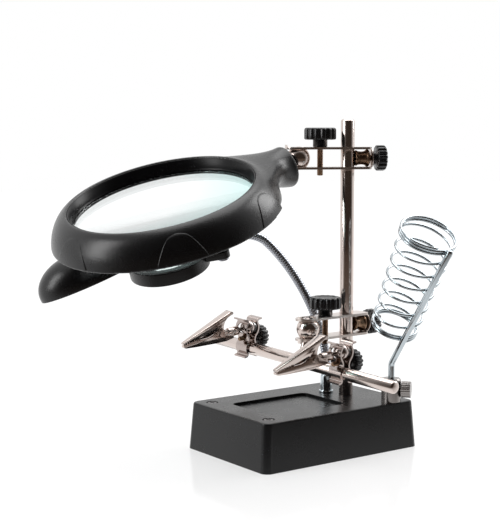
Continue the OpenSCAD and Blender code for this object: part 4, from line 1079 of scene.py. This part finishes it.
for hand in ("left", "right"):
    place = clip_frame(hand)
    lower = channel(
        [(-CLIP_L, -0.5), (-CLIP_L + 0.3, -0.3)]
        + tooth_line(-CLIP_L + 0.9, True)
        + [(-38.3, 1.2), (-36.4, 1.1), (-33, 1.2), (-30.2, 1.9), (-28.2, 2.8), (-26.4, 3.6)]
        + arc(PIVOT_X, PIVOT_Z + 0.3, 3.1, 150, 20, 10)
        + [(-18.2, 1.6), (-16.4, 0.9), (-14, 0.7), (-14, -3.0), (-20, -3.8), (-29, -3.5),
           (-43, -2.9), (-CLIP_L + 1.6, -2.4), (-CLIP_L, -1.7)],
        [(-CLIP_L + 1.1, 8), (-CLIP_L + 1.1, -1.2), (-43, -2.1), (-29, -2.7), (-20, -3.0),
         (-12, -2.2), (-12, 8)],
        LOWER_HALF_W, hand + "_lower_jaw_sheet", place)
    bm = bmesh.new()
    lathe(bm, [(BARREL_R - WALL, -15.8), (BARREL_R, -15.8), (BARREL_R, -8.6),
               (BARREL_R - 0.15, -8.3), (BARREL_R - WALL, -8.3)], 48)
    bm.transform(Matrix.Rotation(math.radians(90), 4, "Y"))
    barrel = finished(bm, hand + "_barrel", place, "warm_nickel")
    barrel.data.set_sharp_from_angle(angle=CREASE)
    upper = channel(
        [(-CLIP_L + 0.1, 0.15)]
        + tooth_line(-CLIP_L + 0.9 + TOOTH_PITCH / 2, False)
        + [(-38.4, 1.9), (-35, 2.8), (-31, 3.9), (-27.6, 4.9), (-25.8, 4.2), (-25.2, 2.2)]
        + arc(PIVOT_X, PIVOT_Z, 2.2, 190, 350, 8)
        + [(-20.6, 5.8), (-19.4, 8.8), (-17.3, 10.9), (-14.8, 12.1), (-13.0, 12.5),
           (-12.2, 13.2), (-12.6, 14.2), (-13.6, 14.5), (-15.4, 13.9)]
        + [(-CLIP_L + 0.2, 1.5), (-CLIP_L - 0.1, 1.0)],
        [(-CLIP_L + 2.2, -6), (-CLIP_L + 2.2, 1.0), (-15.0, 12.9), (-13.4, 13.2),
         (-8, 12.8), (-8, -6)],
        UPPER_HALF_W, hand + "_upper_jaw_sheet", place)
    for piece, name in ((lower, hand + "_lower_jaw"), (upper, hand + "_upper_jaw")):
        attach(piece, body_of[name])
        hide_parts(name)
    bm = bmesh.new()
    wire = bmesh.ops.create_circle(bm, segments=10, radius=SPRING_WIRE)["verts"]
    bmesh.ops.translate(bm, verts=wire, vec=(SPRING_R, -SPRING_W / 2, 0))
    bmesh.ops.spin(bm, geom=bm.verts[:] + bm.edges[:], cent=(0, 0, 0), axis=(0, 1, 0),
                   dvec=(0, SPRING_W / SPRING_STEPS, 0), angle=math.tau * SPRING_TURNS,
                   steps=SPRING_STEPS, use_merge=False)
    bmesh.ops.holes_fill(bm, edges=[e for e in bm.edges if e.is_boundary])
    bm.transform(Matrix.Translation((PIVOT_X, 0, PIVOT_Z)))
    spring = finished(bm, hand + "_spring", place, "dark_steel")
    bm = bmesh.new()
    bm.from_mesh(node[hand + "_clip_stem"].data)
    bmesh.ops.remove_doubles(bm, verts=bm.verts, dist=JOINED)
    to_clip = place.inverted()
    for v in bm.verts:
        spot = to_clip @ v.co
        out = math.hypot(spot.y, spot.z)
        if out > SHOULDER_R and spot.x > SHOULDER_X:
            spot.x -= STEM_EASE
        if out > STEM_CORE:
            spot.y *= (out - STEM_EASE) / out
            spot.z *= (out - STEM_EASE) / out
        v.co = place @ spot
    stem = finished(bm, hand + "_stem", Matrix.Identity(4), "grip_nickel")
    stem.data.set_sharp_from_angle(angle=CREASE)
    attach(stem, body_of[hand + "_clip_stem"])
    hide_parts(hand + "_clip_stem")
    for piece in (barrel, spring):
        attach(piece, body_of[hand + "_lower_jaw"])

# ---------------------------------------------------------------- bounds of what is drawn
low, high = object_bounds()
